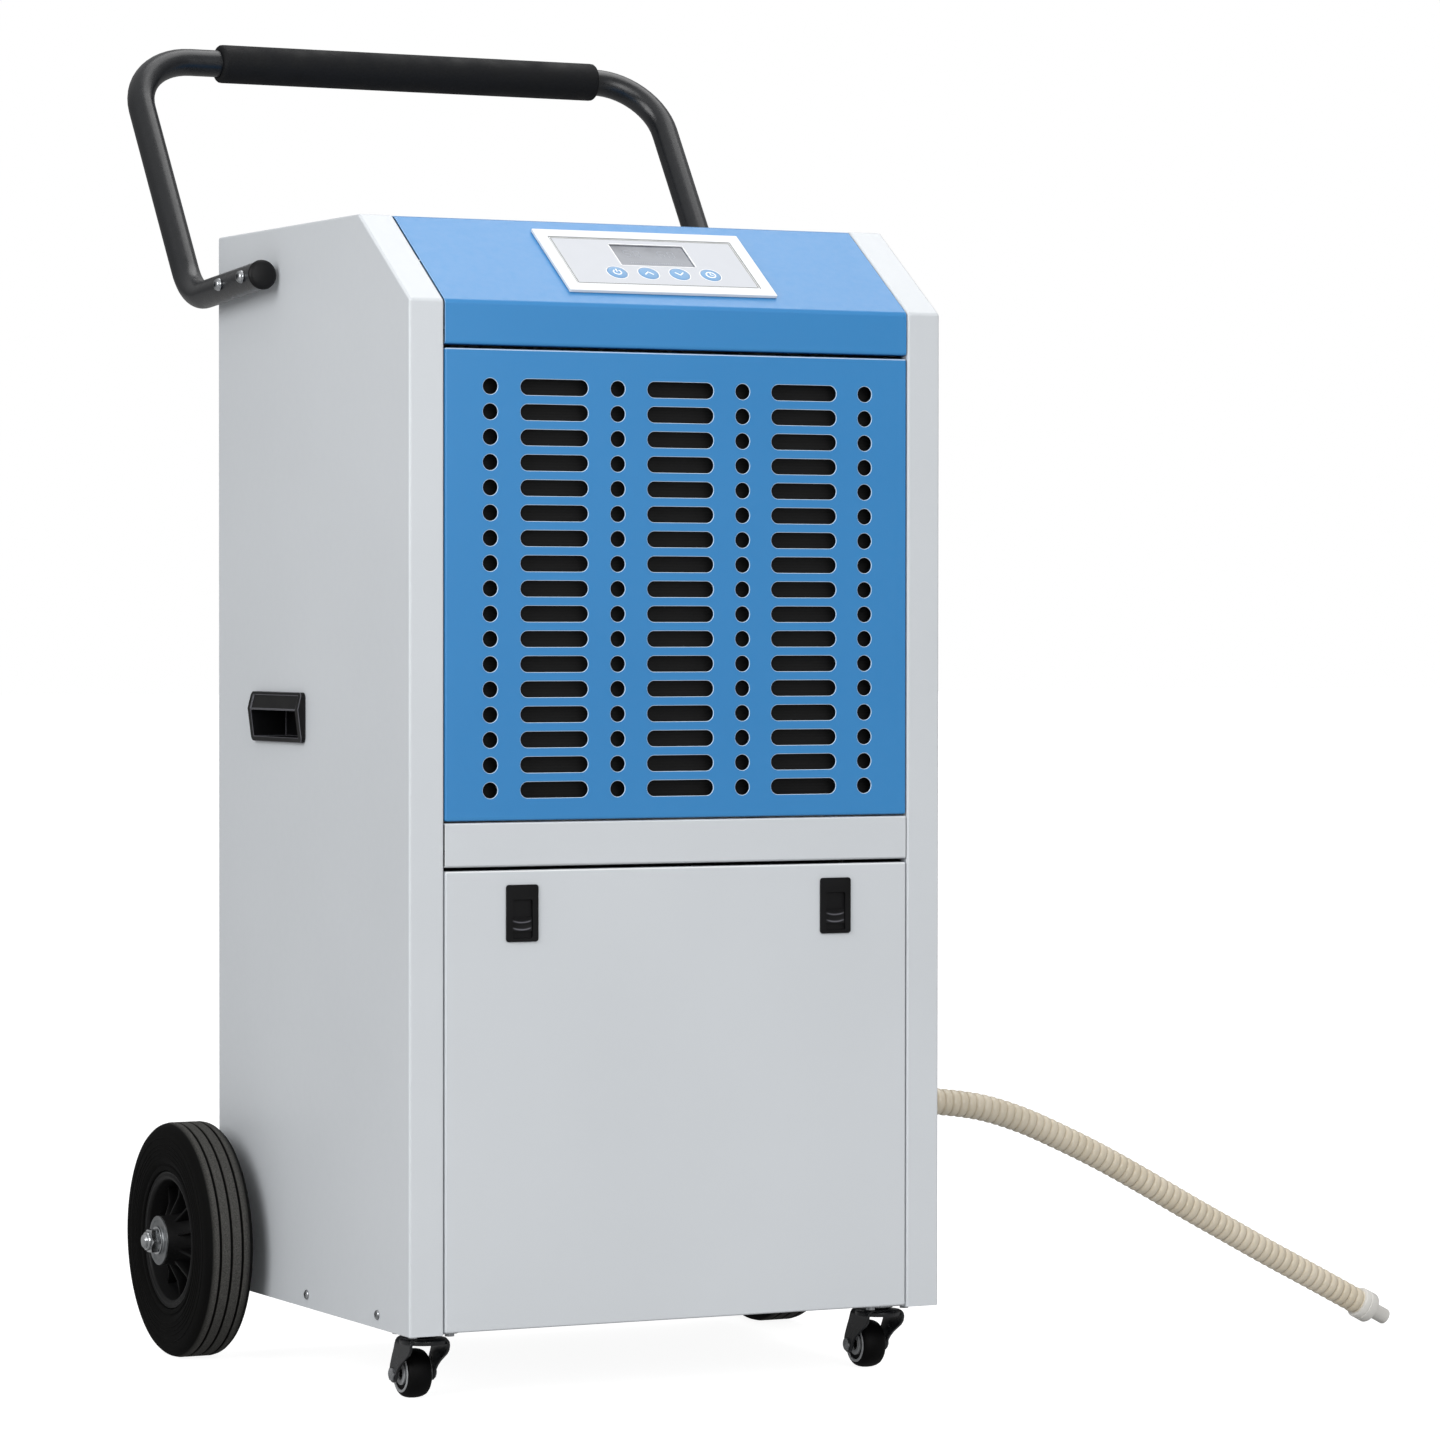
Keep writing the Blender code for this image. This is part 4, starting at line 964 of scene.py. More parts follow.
def serviceDoor():
    door, hole, front = sheets["door"], sheets["latchHole"], cabinet["front"]
    low, high = (-coverX, front, door["low"]), (coverX, front + door["fold"], door["high"])
    work = panWork("serviceDoor", low, high, (0, 1, 0))
    holes = bmesh.new()
    for label, side in sides:
        x = side * latch["x"]
        boxInto(holes, (x - hole["halfWidth"], front - 0.01, hole["low"]),
                (x + hole["halfWidth"], front + 0.01, hole["high"]))
    cutter = cutterOf(holes)
    subtract(work, cutter)
    # bevelled edges and upturned bends get a painted highlight
    mesh = roundedWithEdgeHighlights(work, 0.0003, 1, 60, 0.4, 0.8)
    bpy.data.objects.remove(cutter)
    addPiece("serviceDoor", mesh, greyCoat, "door", ["lower_door"])


for label, side in sides:
    sidePanel(label, side)
topCover()
crossbar()
inletGrille()
backPanel()
serviceDoor()
print("cabinet sheets made")


controls = {
    "plate": (0.188, 0.093, 0.0025),
    "centre": (0.001, 0.064),
    "lift": -0.0002,
    "border": 0.0105,
    "step": 0.0006,
    "linePlace": 0.0016,
    "lineWidth": 0.0007,
    "window": (0.067, 0.032),
    "windowCentre": (0.003, 0.075),
    "windowRim": 0.0007,
    "corner": 0.0009,
    "keys": ("power", "up", "down", "timer"),
    "firstKey": -0.0395,
    "keyPitch": 0.02835,
    "keyUp": 0.047,
    "keyRadius": 0.00875,
    "keyTop": 0.0030,
    "gap": 0.0003,
    "glassSunk": 0.0013,
}
plateTop = controls["lift"] + controls["plate"][2]
fieldTop = controls["lift"] + controls["plate"][2] - controls["step"]


def frameInto(bm, outer, inner, low, high, matrix):
    # a flat ring between two outlines with the same number of points
    rings = [[bm.verts.new((x, y, z)) for x, y in line] for line, z in
             ((outer, low), (outer, high), (inner, high), (inner, low))]
    count = len(outer)
    for a, b in zip(rings, rings[1:] + rings[:1]):
        for i in range(count):
            j = (i + 1) % count
            bm.faces.new((a[i], a[j], b[j], b[i]))
    made = [v for ring in rings for v in ring]
    bmesh.ops.transform(bm, matrix=matrix, verts=made)
    return made


def keyPlaces():
    # the slope's plane, moved to each key's centre
    first, pitch, up = controls["firstKey"], controls["keyPitch"], controls["keyUp"]
    return [slopePlane @ Matrix.Translation((first + i * pitch, up, 0)) for i in range(len(controls["keys"]))]


def openingsCutter(spare):
    # the display's opening and the key holes, with some spare all round
    holes = bmesh.new()
    w, h = [a + 2 * spare for a in controls["window"]]
    outlinePrism(holes, roundedOutline(w, h, 0.0010, 3, controls["windowCentre"]), -0.01, 0.01, slopePlane)
    r = controls["keyRadius"] + spare
    for at in keyPlaces():
        revolved(holes, [(0, -0.01), (r, -0.01), (r, 0.01), (0, 0.01)], 48, at)
    return cutterOf(holes)


def controlPlate():
    # a bezel with a sunk field, punched for the display and the keys
    (w, h), centre, corner = controls["plate"][:2], controls["centre"], controls["corner"]
    border = controls["border"]
    outline = roundedOutline(w, h, corner, 5, centre)
    field = roundedOutline(w - 2 * border, h - 2 * border, corner, 6, centre)
    work = working("plate", prismMesh("plate", outline, controls["lift"], plateTop, slopePlane))
    cutters = [prismCutter(field, fieldTop, plateTop + 0.01, slopePlane), openingsCutter(controls["gap"])]
    for cutter in cutters:
        subtract(work, cutter)
    roundEdges(work, 0.00035, 2, 50)
    return weighted(meshWithout(work, *cutters))


plateFilm = mouldedPlastic("whiteAbsBezel", "#DBDDE0", "#DFE1E4", 0.40, 900.0, 0.00002)
fieldFilm = mouldedPlastic("printedPolycarbonateFilm", "#BABDC3", "#BFC2C8", 0.42, 900.0, 0.00002)
plateInk = mouldedPlastic("oliveGreyScreenInk", "#55574F", "#5E6058", 0.45, 900.0, 0.00001)
rimPlastic = mouldedPlastic("glossyWhiteAbs", "#F1F2F4", "#F6F7F8", 0.25, 900.0, 0.00001)
addPiece("controlPlate", controlPlate(), plateFilm, "cabinet", ["control_plate"])


def plateLines():
    # two thin printed lines: one where the field meets the border, one inside it
    bm = bmesh.new()
    for inset, line in ((0.0, controls["lineWidth"]), (controls["linePlace"], controls["lineWidth"] * 0.7)):
        w, h = [a - 2 * controls["border"] - 2 * inset for a in controls["plate"][:2]]
        frameInto(bm, roundedOutline(w, h, controls["corner"], 8, controls["centre"]),
                  roundedOutline(w - 2 * line, h - 2 * line, controls["corner"] - line, 8,
                                 controls["centre"]),
                  fieldTop - 0.0001, fieldTop + 0.00012, slopePlane)
    outward(bm)
    return meshFrom("plateLine", bm)


def plateField():
    # the printed film inside the lines, punched for the display and the keys
    inset = controls["linePlace"] + controls["lineWidth"]
    w, h = [a - 2 * controls["border"] - 2 * inset for a in controls["plate"][:2]]
    outline = roundedOutline(w, h, 0.0004, 6, controls["centre"])
    work = working("field", prismMesh("field", outline, fieldTop - 0.0001, fieldTop + 0.0001, slopePlane))
    cutter = openingsCutter(0)
    subtract(work, cutter)
    return meshWithout(work, cutter)


def plateRims():
    # raised white rims round the display and the keys
    bm = bmesh.new()
    w, h = [a + 2 * controls["gap"] for a in controls["window"]]
    rim, centre = controls["windowRim"], controls["windowCentre"]
    frameInto(bm, roundedOutline(w + 2 * rim, h + 2 * rim, 0.0022, 5, centre),
              roundedOutline(w, h, 0.0009, 5, centre), fieldTop - 0.0002, fieldTop + 0.0003, slopePlane)
    r = controls["keyRadius"] + controls["gap"]
    profile = [(r, fieldTop - 0.0002), (r, fieldTop + 0.00015), (r + 0.0002, fieldTop + 0.00025),
               (r + 0.0005, fieldTop + 0.00025), (r + 0.0007, fieldTop)]
    for at in keyPlaces():
        revolved(bm, profile, 64, at, closed=True)
    outward(bm)
    return roundedMesh(meshFrom("rims", bm), 0.00015)


addPiece("plateLine", plateLines(), plateInk, "cabinet")
addPiece("plateField", plateField(), fieldFilm, "cabinet")
addPiece("plateRims", weighted(plateRims()), rimPlastic, "cabinet")


def displayGlass():
    # tinted acrylic over an unlit liquid-crystal panel: grey-violet with faint cells, and painted shade
    # darkening it towards its top, under the bezel
    made, tree, shader, place = newMaterial("tintedDisplayAcrylic", "#8E939D", 0.12, sockets={"IOR": 1.49})
    back = slopePlane.inverted()
    up = addNode(tree, "ShaderNodeVectorMath", {0: place, 1: tuple(back[1][:3])}, operation="DOT_PRODUCT")
    across = addNode(tree, "ShaderNodeVectorMath", {0: place, 1: tuple(back[0][:3])}, operation="DOT_PRODUCT")
    rise = addNode(tree, "ShaderNodeMath", {0: up.outputs["Value"], 1: back[1][3]}, operation="ADD")
    # painted shade: the colour darkens from the window's bottom towards its top edge
    low = controls["windowCentre"][1] - controls["window"][1] / 2
    part = addNode(tree, "ShaderNodeMapRange", {
        "Value": rise.outputs[0], "From Min": low, "From Max": low + controls["window"][1],
    })
    cloud = addNode(tree, "ShaderNodeTexNoise", {"Vector": place, "Scale": 60.0, "Detail": 3.0})
    topShade = addNode(tree, "ShaderNodeMath", {0: part.outputs[0], 1: cloud.outputs[0]}, operation="MULTIPLY")
    colourBetween(tree, shader, topShade.outputs[0], "#6C717A", "#3E434F", 0.15, 0.62)
    cells = addNode(tree, "ShaderNodeMath", {0: across.outputs["Value"], 1: 0.0009}, operation="PINGPONG")
    roughBetween(tree, shader, cells.outputs[0], 0.10, 0.20, 0.0, 0.0009)
    return made


def displayPanel():
    outline = roundedOutline(*controls["window"], 0.0007, 3, controls["windowCentre"])
    return prismMesh("displayPanel", outline, -0.0007, plateTop - controls["glassSunk"], slopePlane)


marks = {
    "bars": {
        "a": (0, 1, 0), "b": (0.5, 0.5, 1), "c": (0.5, -0.5, 1), "d": (0, -1, 0),
        "e": (-0.5, -0.5, 1), "f": (-0.5, 0.5, 1), "g": (0, 0, 0),
    },
    "digits": ((-0.0215, "afgcd"), (-0.0125, "abcdef"), (0.0095, "afgecd"), (0.0185, "abcdef")),
    "digitUp": 0.0030,
    "wide": 0.0050,
    "tall": 0.0045,
    "thin": 0.0007,
    "levels": 24,
    "levelStart": 0.023,
    "levelPitch": 0.0020,
    "levelDown": (0.0118, 0.0100),
}


def displayMarks():
    # unlit digits and a row of level marks, seen faintly behind the window
    bm = bmesh.new()
    high = plateTop - controls["glassSunk"]
    cx, cy = controls["windowCentre"]
    wide, tall, thin = marks["wide"], marks["tall"], marks["thin"]
    for x, lit in marks["digits"]:
        for key in lit:
            sx, sy, upright = marks["bars"][key]
            mx, my = cx + x + sx * wide, cy + marks["digitUp"] + sy * tall
            hx, hy = (thin / 2, tall / 2 - thin * 0.6) if upright else (wide / 2 - thin * 0.6, thin / 2)
            boxInto(bm, (mx - hx, my - hy, high - 0.0001), (mx + hx, my + hy, high + 0.00004), slopePlane)
    low, up = marks["levelDown"]
    for i in range(marks["levels"]):
        x = cx - marks["levelStart"] + i * marks["levelPitch"]
        boxInto(bm, (x - 0.0006, cy - low, high - 0.0001), (x + 0.0006, cy - up, high + 0.00004), slopePlane)
    outward(bm)
    return meshFrom("displayMarks", bm)


addPiece("displayPanel", displayPanel(), displayGlass(), "cabinet", ["display_window"])
markInk = mouldedPlastic("unlitDisplayCells", "#7E838D", "#868B95", 0.25, 900.0, 0.00001)
addPiece("displayMarks", displayMarks(), markInk, "cabinet")

keySilicone = mouldedPlastic("lightBlueKeyPlastic", "#5A8CB8", "#6595C0", 0.32, 900.0, 0.00002)
keyInk = mouldedPlastic("whiteKeyPrint", "#F2F5F8", "#F8FAFC", 0.35, 900.0, 0.00001)


def keyCap(at):
    r, low, top = controls["keyRadius"], -0.0010, controls["keyTop"]
    profile = [
        (0, low), (r - 0.0002, low), (r, low + 0.0002), (r, top - 0.0016), (r - 0.0002, top - 0.0012),
        (r - 0.0007, top - 0.0010), (r * 0.6, top - 0.00085), (0, top - 0.0008),
    ]
    return revolvedPiece("keyCap", profile, 64, at)


def bandInto(bm, radius, width, start, end, low, high, matrix, steps=40):
    # an arc-shaped bar, from one angle to another
    closed = abs(end - start - math.tau) < 1e-6
    outer = [(math.cos(start + (end - start) * i / steps), math.sin(start + (end - start) * i / steps))
             for i in range(steps if closed else steps + 1)]
    wide, narrow = radius + width / 2, radius - width / 2
    rows = [[bm.verts.new((c * r, s * r, z)) for c, s in outer]
            for r, z in ((wide, low), (wide, high), (narrow, high), (narrow, low))]
    count = len(outer)
    for a, b in zip(rows, rows[1:] + rows[:1]):
        for i in range(count if closed else count - 1):
            j = (i + 1) % count
            bm.faces.new((a[i], a[j], b[j], b[i]))
    if not closed:
        bm.faces.new([row[0] for row in rows])
        bm.faces.new([row[-1] for row in rows][::-1])
    bmesh.ops.transform(bm, matrix=matrix, verts=[v for row in rows for v in row])


def barInto(bm, start, end, width, low, high, matrix):
    a, b = Vector((*start, 0)), Vector((*end, 0))
    turned = Matrix.Rotation(math.atan2(b.y - a.y, b.x - a.x), 4, "Z")
    middle = (a + b) / 2
    length = (b - a).length + width
    at = matrix @ Matrix.Translation(middle) @ turned
    boxInto(bm, (-length / 2, -width / 2, low), (length / 2, width / 2, high), at)


def keyIcon(kind, at):
    # a power ring, an arrow up, an arrow down or a clock, printed on the key
    bm = bmesh.new()
    top = controls["keyTop"] - 0.00082
    low, high = top - 0.0002, top + 0.00007
    line = 0.0011
    if kind == "power":
        bandInto(bm, 0.0034, line, math.radians(125), math.radians(415), low, high, at)
        barInto(bm, (0, 0.0012), (0, 0.0042), line, low, high, at)
    elif kind == "timer":
        bandInto(bm, 0.0040, line, 0, math.tau, low, high, at)
        barInto(bm, (0, 0), (0, 0.0022), line * 0.8, low, high, at)
        barInto(bm, (0, 0), (0.0017, -0.0008), line * 0.8, low, high, at)
    else:
        tip = 0.0018 if kind == "up" else -0.0018
        for x in (-0.0034, 0.0034):
            barInto(bm, (x, -tip), (0, tip), line, low, high, at)
    outward(bm)
    return meshFrom("keyIcon", bm)


for kind, at in zip(controls["keys"], keyPlaces()):
    addPiece(kind + "KeyCap", keyCap(at), keySilicone, kind + "_key", [kind + "_button"], 30)
    addPiece(kind + "KeyIcon", keyIcon(kind, at), keyInk, kind + "_key")
print("control plate made")


def latchHousing(x):
    # a rounded bezel proud of the door, a body behind the door and a shallow pocket in front
    w, h = latch["size"]
    pocketWidth, low, high, depth = latch["pocket"]
    at = facingFront(x, cabinet["front"], latch["z"])
    bezel = prismMesh("housing", roundedOutline(w, h, 0.0024, 6), 0.0003, latch["proud"], at)
    shape = working("housing", roundedMesh(bezel, 0.0006, 3))
    body = prismCutter(roundedOutline(w - 0.003, h - 0.003, 0.0012, 3), -0.0125, 0.0006, at)
    opening = roundedOutline(pocketWidth, high - low, 0.0018, 5, (0, (high + low) / 2))
    pocket = prismCutter(opening, latch["proud"] - depth, 0.01, at)
    combine(shape, body, "UNION")
    subtract(shape, pocket)
    roundEdges(shape, 0.0003, 2, 50)
    return weighted(meshWithout(shape, body, pocket))


def latchPad(x):
    # a scooped thumb pad with two smile-shaped ridges
    w, h = latch["pad"]
    at = facingFront(x, cabinet["front"], latch["z"] - latch["padDrop"])
    columns, rows = 24, 40
    bm = bmesh.new()
    highlightLayer = bm.verts.layers.float.new("paintedEdgeHighlight")
    grid = []
    top = latch["proud"] - latch["padSunk"]
    for j in range(rows + 1):
        v = -h / 2 + h * j / rows
        line = []
        for i in range(columns + 1):
            u = -w / 2 + w * i / columns
            across = 2 * u / w
            up = top - latch["scoop"] * (1 - (2 * v / h) ** 2) * (1 - 0.35 * across**2)
            # the ridge crests are marked for a painted highlight, a paler tone standing in for light caught
            # on them
            ridgeHighlight = 0.0
            for ridge in latch["ridges"]:
                bend = ridge - 0.0016 * (1 - across**2)
                crest = math.exp(-((v - bend) / 0.00055) ** 2) * max(0.0, 1 - across**6)
                up += latch["ridgeHigh"] * crest
                ridgeHighlight = max(ridgeHighlight, crest)
            line.append(bm.verts.new((u, v, min(up, top))))
            line[-1][highlightLayer] = ridgeHighlight
        grid.append(line)
    for j in range(rows):
        for i in range(columns):
            bm.faces.new((grid[j][i], grid[j][i + 1], grid[j + 1][i + 1], grid[j + 1][i]))
    rim = grid[0] + [row[-1] for row in grid[1:]] + grid[-1][-2::-1] + [row[0] for row in grid[-2:0:-1]]
    back = [bm.verts.new((v.co.x, v.co.y, latch["proud"] - latch["padThick"])) for v in rim]
    for i in range(len(rim)):
        j = (i + 1) % len(rim)
        bm.faces.new((rim[j], rim[i], back[i], back[j]))
    bm.faces.new(back[::-1])
    bmesh.ops.transform(bm, matrix=at, verts=bm.verts)
    outward(bm)
    return meshFrom("latchPad", bm)


for label, side in sides:
    housing, pad = latchHousing(side * latch["x"]), latchPad(side * latch["x"])
    addPiece(label + "LatchHousing", housing, blackAbs, "door", [label + "_latch_housing"])
    addPiece(label + "LatchPad", pad, blackAbs, label + "_latch",
             [label + "_latch_slider"], 50)
print("latches made")


gripShape = {
    "corner": 0.0045,
    "edge": 0.0039,
    "ridge": 0.0075,
    "ridgeUp": 0.0067,
    "wall": 0.0062,
    "lip": 0.0009,
    "depth": 0.0280,
}


def sectionCutter(outline, reach, matrix):
    # an (out, up) section made solid along local x, as far each way as the reach
    bm = bmesh.new()
    near = [bm.verts.new((-reach, up, out)) for out, up in outline]
    far = [bm.verts.new((reach, up, out)) for out, up in outline]
    bm.faces.new(near)
    bm.faces.new(far[::-1])
    for i in range(len(outline)):
        j = (i + 1) % len(outline)
        bm.faces.new((near[j], near[i], far[i], far[j]))
    bmesh.ops.transform(bm, matrix=matrix, verts=near + far)
    return cutterOf(bm)


def gripCup(side):
    # a rim with a ridge along it, a cup behind the panel and the hollow for the fingers
    w, h = grips["size"]
    at = facingSide((side * cabinet["halfWidth"], grips["y"], grips["z"]), side)
    edge, ridge, up = gripShape["edge"], gripShape["ridge"], gripShape["ridgeUp"]
    lip, inner = gripShape["lip"], w / 2 - gripShape["wall"]
    face = [(-0.001, -0.03), (edge - 0.0016, -0.03), (edge, -h / 2), (ridge, up), (edge, h / 2),
            (edge - 0.0016, 0.03), (-0.001, 0.03)]
    body = roundedOutline(w - 0.0080, h - 0.0052, 0.002, 3)
    step = [(0.02, up), (ridge - lip, up), (edge - lip + 0.0004, h / 2 - 0.0028), (0.02, h / 2 - 0.0028)]
    hollow = [(0.02, -0.0168), (0.02, up - 0.0012), (0.0054, up - 0.0012), (0.0022, 0.0166),
              (-0.0250, 0.0166), (-0.0250, -0.0168)]
    cup = working("cup", prismMesh("cup", roundedOutline(w, h, gripShape["corner"], 8), 0.0003, 0.02, at))
    tools = [
        ("INTERSECT", sectionCutter(face, 0.1, at)),
        ("UNION", prismCutter(body, -gripShape["depth"], 0.0010, at)),
        ("DIFFERENCE", sectionCutter(step, inner, at)),
        ("DIFFERENCE", sectionCutter(hollow, inner - 0.0006, at)),
    ]
    for kind, tool in tools:
        combine(cup, tool, kind)
    # the bevel strips get a painted highlight
    mesh = roundedWithEdgeHighlights(cup, 0.00045, 2, 24, 0.8)
    for kind, tool in tools:
        bpy.data.objects.remove(tool)
    return mesh


for label, side in sides:
    addPiece(label + "GripCup", gripCup(side), blackAbs, "cabinet", [label + "_grip_cup"])
print("side grips made")


handle = {
    "corners": (
        (-0.2555, -0.026, 0.9178), (-0.2555, 0.134, 0.906), (-0.2565, 0.287, 1.126),
        (0.2565, 0.287, 1.126), (0.2555, 0.134, 0.906), (0.2555, -0.026, 0.9178),
    ),
    "bends": (0.055, 0.057, 0.057, 0.055),
    "radius": 0.012,
    "foam": (-0.172, 0.198),
    "foamRadius": 0.017,
    "run": (0, -0.160, 0.0118),
    "boltBase": 0.2678,
    "socket": 0.0040,
}


def bentRoute(corners, bends, steps=14):
    # straight runs with a true arc at every inner corner
    points = [Vector(c) for c in corners]
    route = [points[0]]
    for before, at, after, radius in zip(points, points[1:], points[2:], bends):
        back, on = (before - at).normalized(), (after - at).normalized()
        half = back.angle(on) / 2
        middle = at + (back + on).normalized() * radius / math.sin(half)
        start, end = at + back * radius / math.tan(half), at + on * radius / math.tan(half)
        first, last = (start - middle).normalized(), (end - middle).normalized()
        route += [middle + first.slerp(last, i / steps) * radius for i in range(steps + 1)]
    return route + [points[-1]]


def tubeMesh(name, route, radius, steps=40):
    # a closed round bar along a route, its rings kept from twisting
    bm = bmesh.new()
    up = Vector((1, 0, 0)) if abs((route[1] - route[0]).normalized().x) < 0.9 else Vector((0, 0, 1))
    rings = []
    for i, at in enumerate(route):
        way = (route[min(i + 1, len(route) - 1)] - route[max(i - 1, 0)]).normalized()
        up = (up - way * up.dot(way)).normalized()
        across = way.cross(up)
        rings.append([
            bm.verts.new(at + radius * (up * math.cos(a) + across * math.sin(a)))
            for a in (math.tau * k / steps for k in range(steps))
        ])
    for low, high in zip(rings, rings[1:]):
        for k in range(steps):
            j = (k + 1) % steps
            bm.faces.new((low[k], low[j], high[j], high[k]))
    bm.faces.new(rings[0][::-1])
    bm.faces.new(rings[-1])
    outward(bm)
    return meshFrom(name, bm)


def zincPlated(name, low, high, roughness):
    # barrel-plated fasteners: bright zinc with a cloudy passivated skin and small knocks
    made, tree, shader, place = newMaterial(name, low, roughness, 1.0)
    cloud = addNode(tree, "ShaderNodeTexNoise", {"Vector": place, "Scale": 240.0, "Detail": 3.0})
    knocks = addNode(tree, "ShaderNodeTexVoronoi", {"Vector": place, "Scale": 620.0})
    colourBetween(tree, shader, cloud.outputs[0], low, high, 0.35, 0.65)
    roughBetween(tree, shader, cloud.outputs[0], roughness - 0.07, roughness + 0.12)
    bumpFrom(tree, shader, knocks.outputs[0], 0.00002, 0.25)
    return made


def closedCellFoam(name, low, high):
    # extruded nitrile foam: matt skin with pinholes about 0.9 mm apart and long soft dents
    gloss = {"IOR": 1.42, "Specular IOR Level": 0.3}
    made, tree, shader, place = newMaterial(name, low, 0.72, sockets=gloss)
    cells = addNode(tree, "ShaderNodeTexVoronoi", {"Vector": place, "Scale": 1100.0})
    dents = addNode(tree, "ShaderNodeTexNoise", {"Vector": place, "Scale": 45.0, "Detail": 3.0})
    colourBetween(tree, shader, dents.outputs[0], low, high, 0.35, 0.7)
    roughBetween(tree, shader, dents.outputs[0], 0.62, 0.82)
    both = addNode(tree, "ShaderNodeMath", {0: cells.outputs[0], 1: dents.outputs[0]}, operation="ADD")
    bumpFrom(tree, shader, both.outputs[0], 0.0002, 0.6)
    return made


boltZinc = zincPlated("brightZincFasteners", "#8C8F92", "#B4B6B9", 0.24)
washerZinc = turnedMetal("stampedZincWasher", "#6A6D6F", "#8E9092", 0.34, 0, (0, 0.086, 0.100), 0.0006)
axleZinc = turnedMetal("turnedAxleSteel", "#96999B", "#C4C6C8", 0.17, 0, (0, 0.086, 0.100), 0.0004)
foamSkin = closedCellFoam("closedCellFoam", "#07080A", "#0E0F12")

route = bentRoute(handle["corners"], handle["bends"])
tube = tubeMesh("handleTube", route, handle["radius"])
addPiece("handleTube", tube, blackCoat, "cabinet", ["handle_tube"])


def foamSleeve():
    start, end = handle["foam"]
    bore, r, length = handle["radius"] + 0.0003, handle["foamRadius"], end - start
    profile = [
        (bore, 0), (r - 0.0030, 0), (r - 0.0012, 0.0006), (r - 0.0003, 0.0018), (r, 0.0040), (r, length / 3),
        (r, length * 2 / 3), (r, length - 0.0040), (r - 0.0003, length - 0.0018),
        (r - 0.0012, length - 0.0006), (r - 0.0030, length), (bore, length),
    ]
    at = facing((start, *handle["corners"][2][1:]), (1, 0, 0))
    return revolvedPiece("foamSleeve", profile, 72, at, closed=True)


def handlePlug(end):
    # a domed plug in the open end of the tube
    run = Vector(handle["run"]).normalized()
    profile = [
        (0, 0.0030), (0.0085, 0.0028), (0.0105, 0.0022), (0.0119, 0.0012), (0.0125, 0.0004),
        (0.0126, -0.0002), (0.0123, -0.0003), (0, -0.0003),
    ]
    return revolvedPiece("plug", profile, 48, facing(Vector(end) + run * 0.0003, run))


def handleBolt(side, y):
    # a button head bolt with a hexagon socket, square to the tube's side
    (endY, endZ), (lowY, lowZ) = handleBolts["end"], handleBolts["low"]
    z = endZ + (lowZ - endZ) / (lowY - endY) * (y - endY)
    at = facing((side * handle["boltBase"], y, z), (side, 0, 0))
    profile = [
        (0, 0.0040), (0.0026, 0.0040), (0.0038, 0.0036), (0.0048, 0.0026), (0.0054, 0.0010), (0.0055, 0.0002),
        (0.0053, 0), (0.0032, 0), (0.0032, -0.0345), (0, -0.0345),
    ]
    head = working("bolt", revolvedPiece("bolt", profile, 40, at))
    socket = prismCutter(hexagon(handle["socket"] / math.sqrt(3)), 0.0018, 0.01, at)
    subtract(head, socket)
    return meshWithout(head, socket)


addPiece("foamSleeve", foamSleeve(), foamSkin, "cabinet", ["foam_grip"])
for label, side in sides:
    plug = handlePlug(handle["corners"][0 if side < 0 else -1])
    addPiece(label + "HandlePlug", plug, blackAbs, "cabinet", [label + "_handle_cap"])
    for place, y in zip(("front", "rear"), handleBolts["y"]):
        name, node = label + place.capitalize() + "HandleBolt", label + "_" + place + "_handle_bolt"
        addPiece(name, handleBolt(side, y), boltZinc, "cabinet", [node])
print("push handle made")


wheel = {
    "x": 0.278,
    "y": 0.086,
    "radius": 0.100,
    "half": 0.0220,
    "grooves": (-0.0098, 0.0, 0.0098),
    "grooveWidth": 0.0024,
    "grooveDepth": 0.0020,
    "sideLines": (0.0700, 0.0735, 0.0770, 0.0805, 0.0865),
    "ribs": 10,
    "washer": 0.3048,
    "axleEnd": 0.320,
}


def tyreProfile():
    # bead, moulded lines on the wall, rounded shoulder and three grooves, mirrored
    half, top = wheel["half"], wheel["radius"]
    outside = [
        (0.0590, 0.0178), (0.0592, 0.0192), (0.0600, 0.0200), (0.0618, 0.0203), (0.0632, 0.0200),
        (0.0638, 0.0192), (0.0648, 0.0192), (0.0662, 0.0202), (0.0680, half - 0.0006),
    ]
    for r in wheel["sideLines"]:
        outside += [(r, half - 0.0004), (r + 0.0003, half), (r + 0.0009, half), (r + 0.0012, half - 0.0004)]
    outside += [
        (0.0910, half - 0.0004), (0.0940, half - 0.0010), (0.0962, half - 0.0020), (0.0975, half - 0.0034),
        (0.0985, half - 0.0046), (0.0992, half - 0.0060), (top - 0.0003, half - 0.0080), (top, half - 0.0094),
    ]
    half = wheel["grooveWidth"] / 2
    deep = top - wheel["grooveDepth"]
    middle = []
    for z in sorted(wheel["grooves"], reverse=True):
        middle += [(top, z + half + 0.0003), (top - 0.0003, z + half), (deep, z + half * 0.7),
                   (deep, z - half * 0.7), (top - 0.0003, z - half), (top, z - half - 0.0003)]
    return outside + middle + [(r, -z) for r, z in outside[::-1]]


rimProfile = [
    (0.0064, 0.0265), (0.0198, 0.0265), (0.0205, 0.0258), (0.0209, 0.0200), (0.0232, 0.0045),
    (0.0250, 0.0026), (0.0470, 0.0004), (0.0490, 0.0012), (0.0500, 0.0035), (0.0512, 0.0160),
    (0.0518, 0.0178), (0.0532, 0.0187), (0.0548, 0.0188), (0.0560, 0.0180), (0.0570, 0.0180),
    (0.0580, 0.0186), (0.0587, 0.0178), (0.0587, -0.0175), (0.0515, -0.0170), (0.0495, -0.0030),
    (0.0240, -0.0050), (0.0150, -0.0200), (0.0130, -0.0362), (0.0064, -0.0362),
]


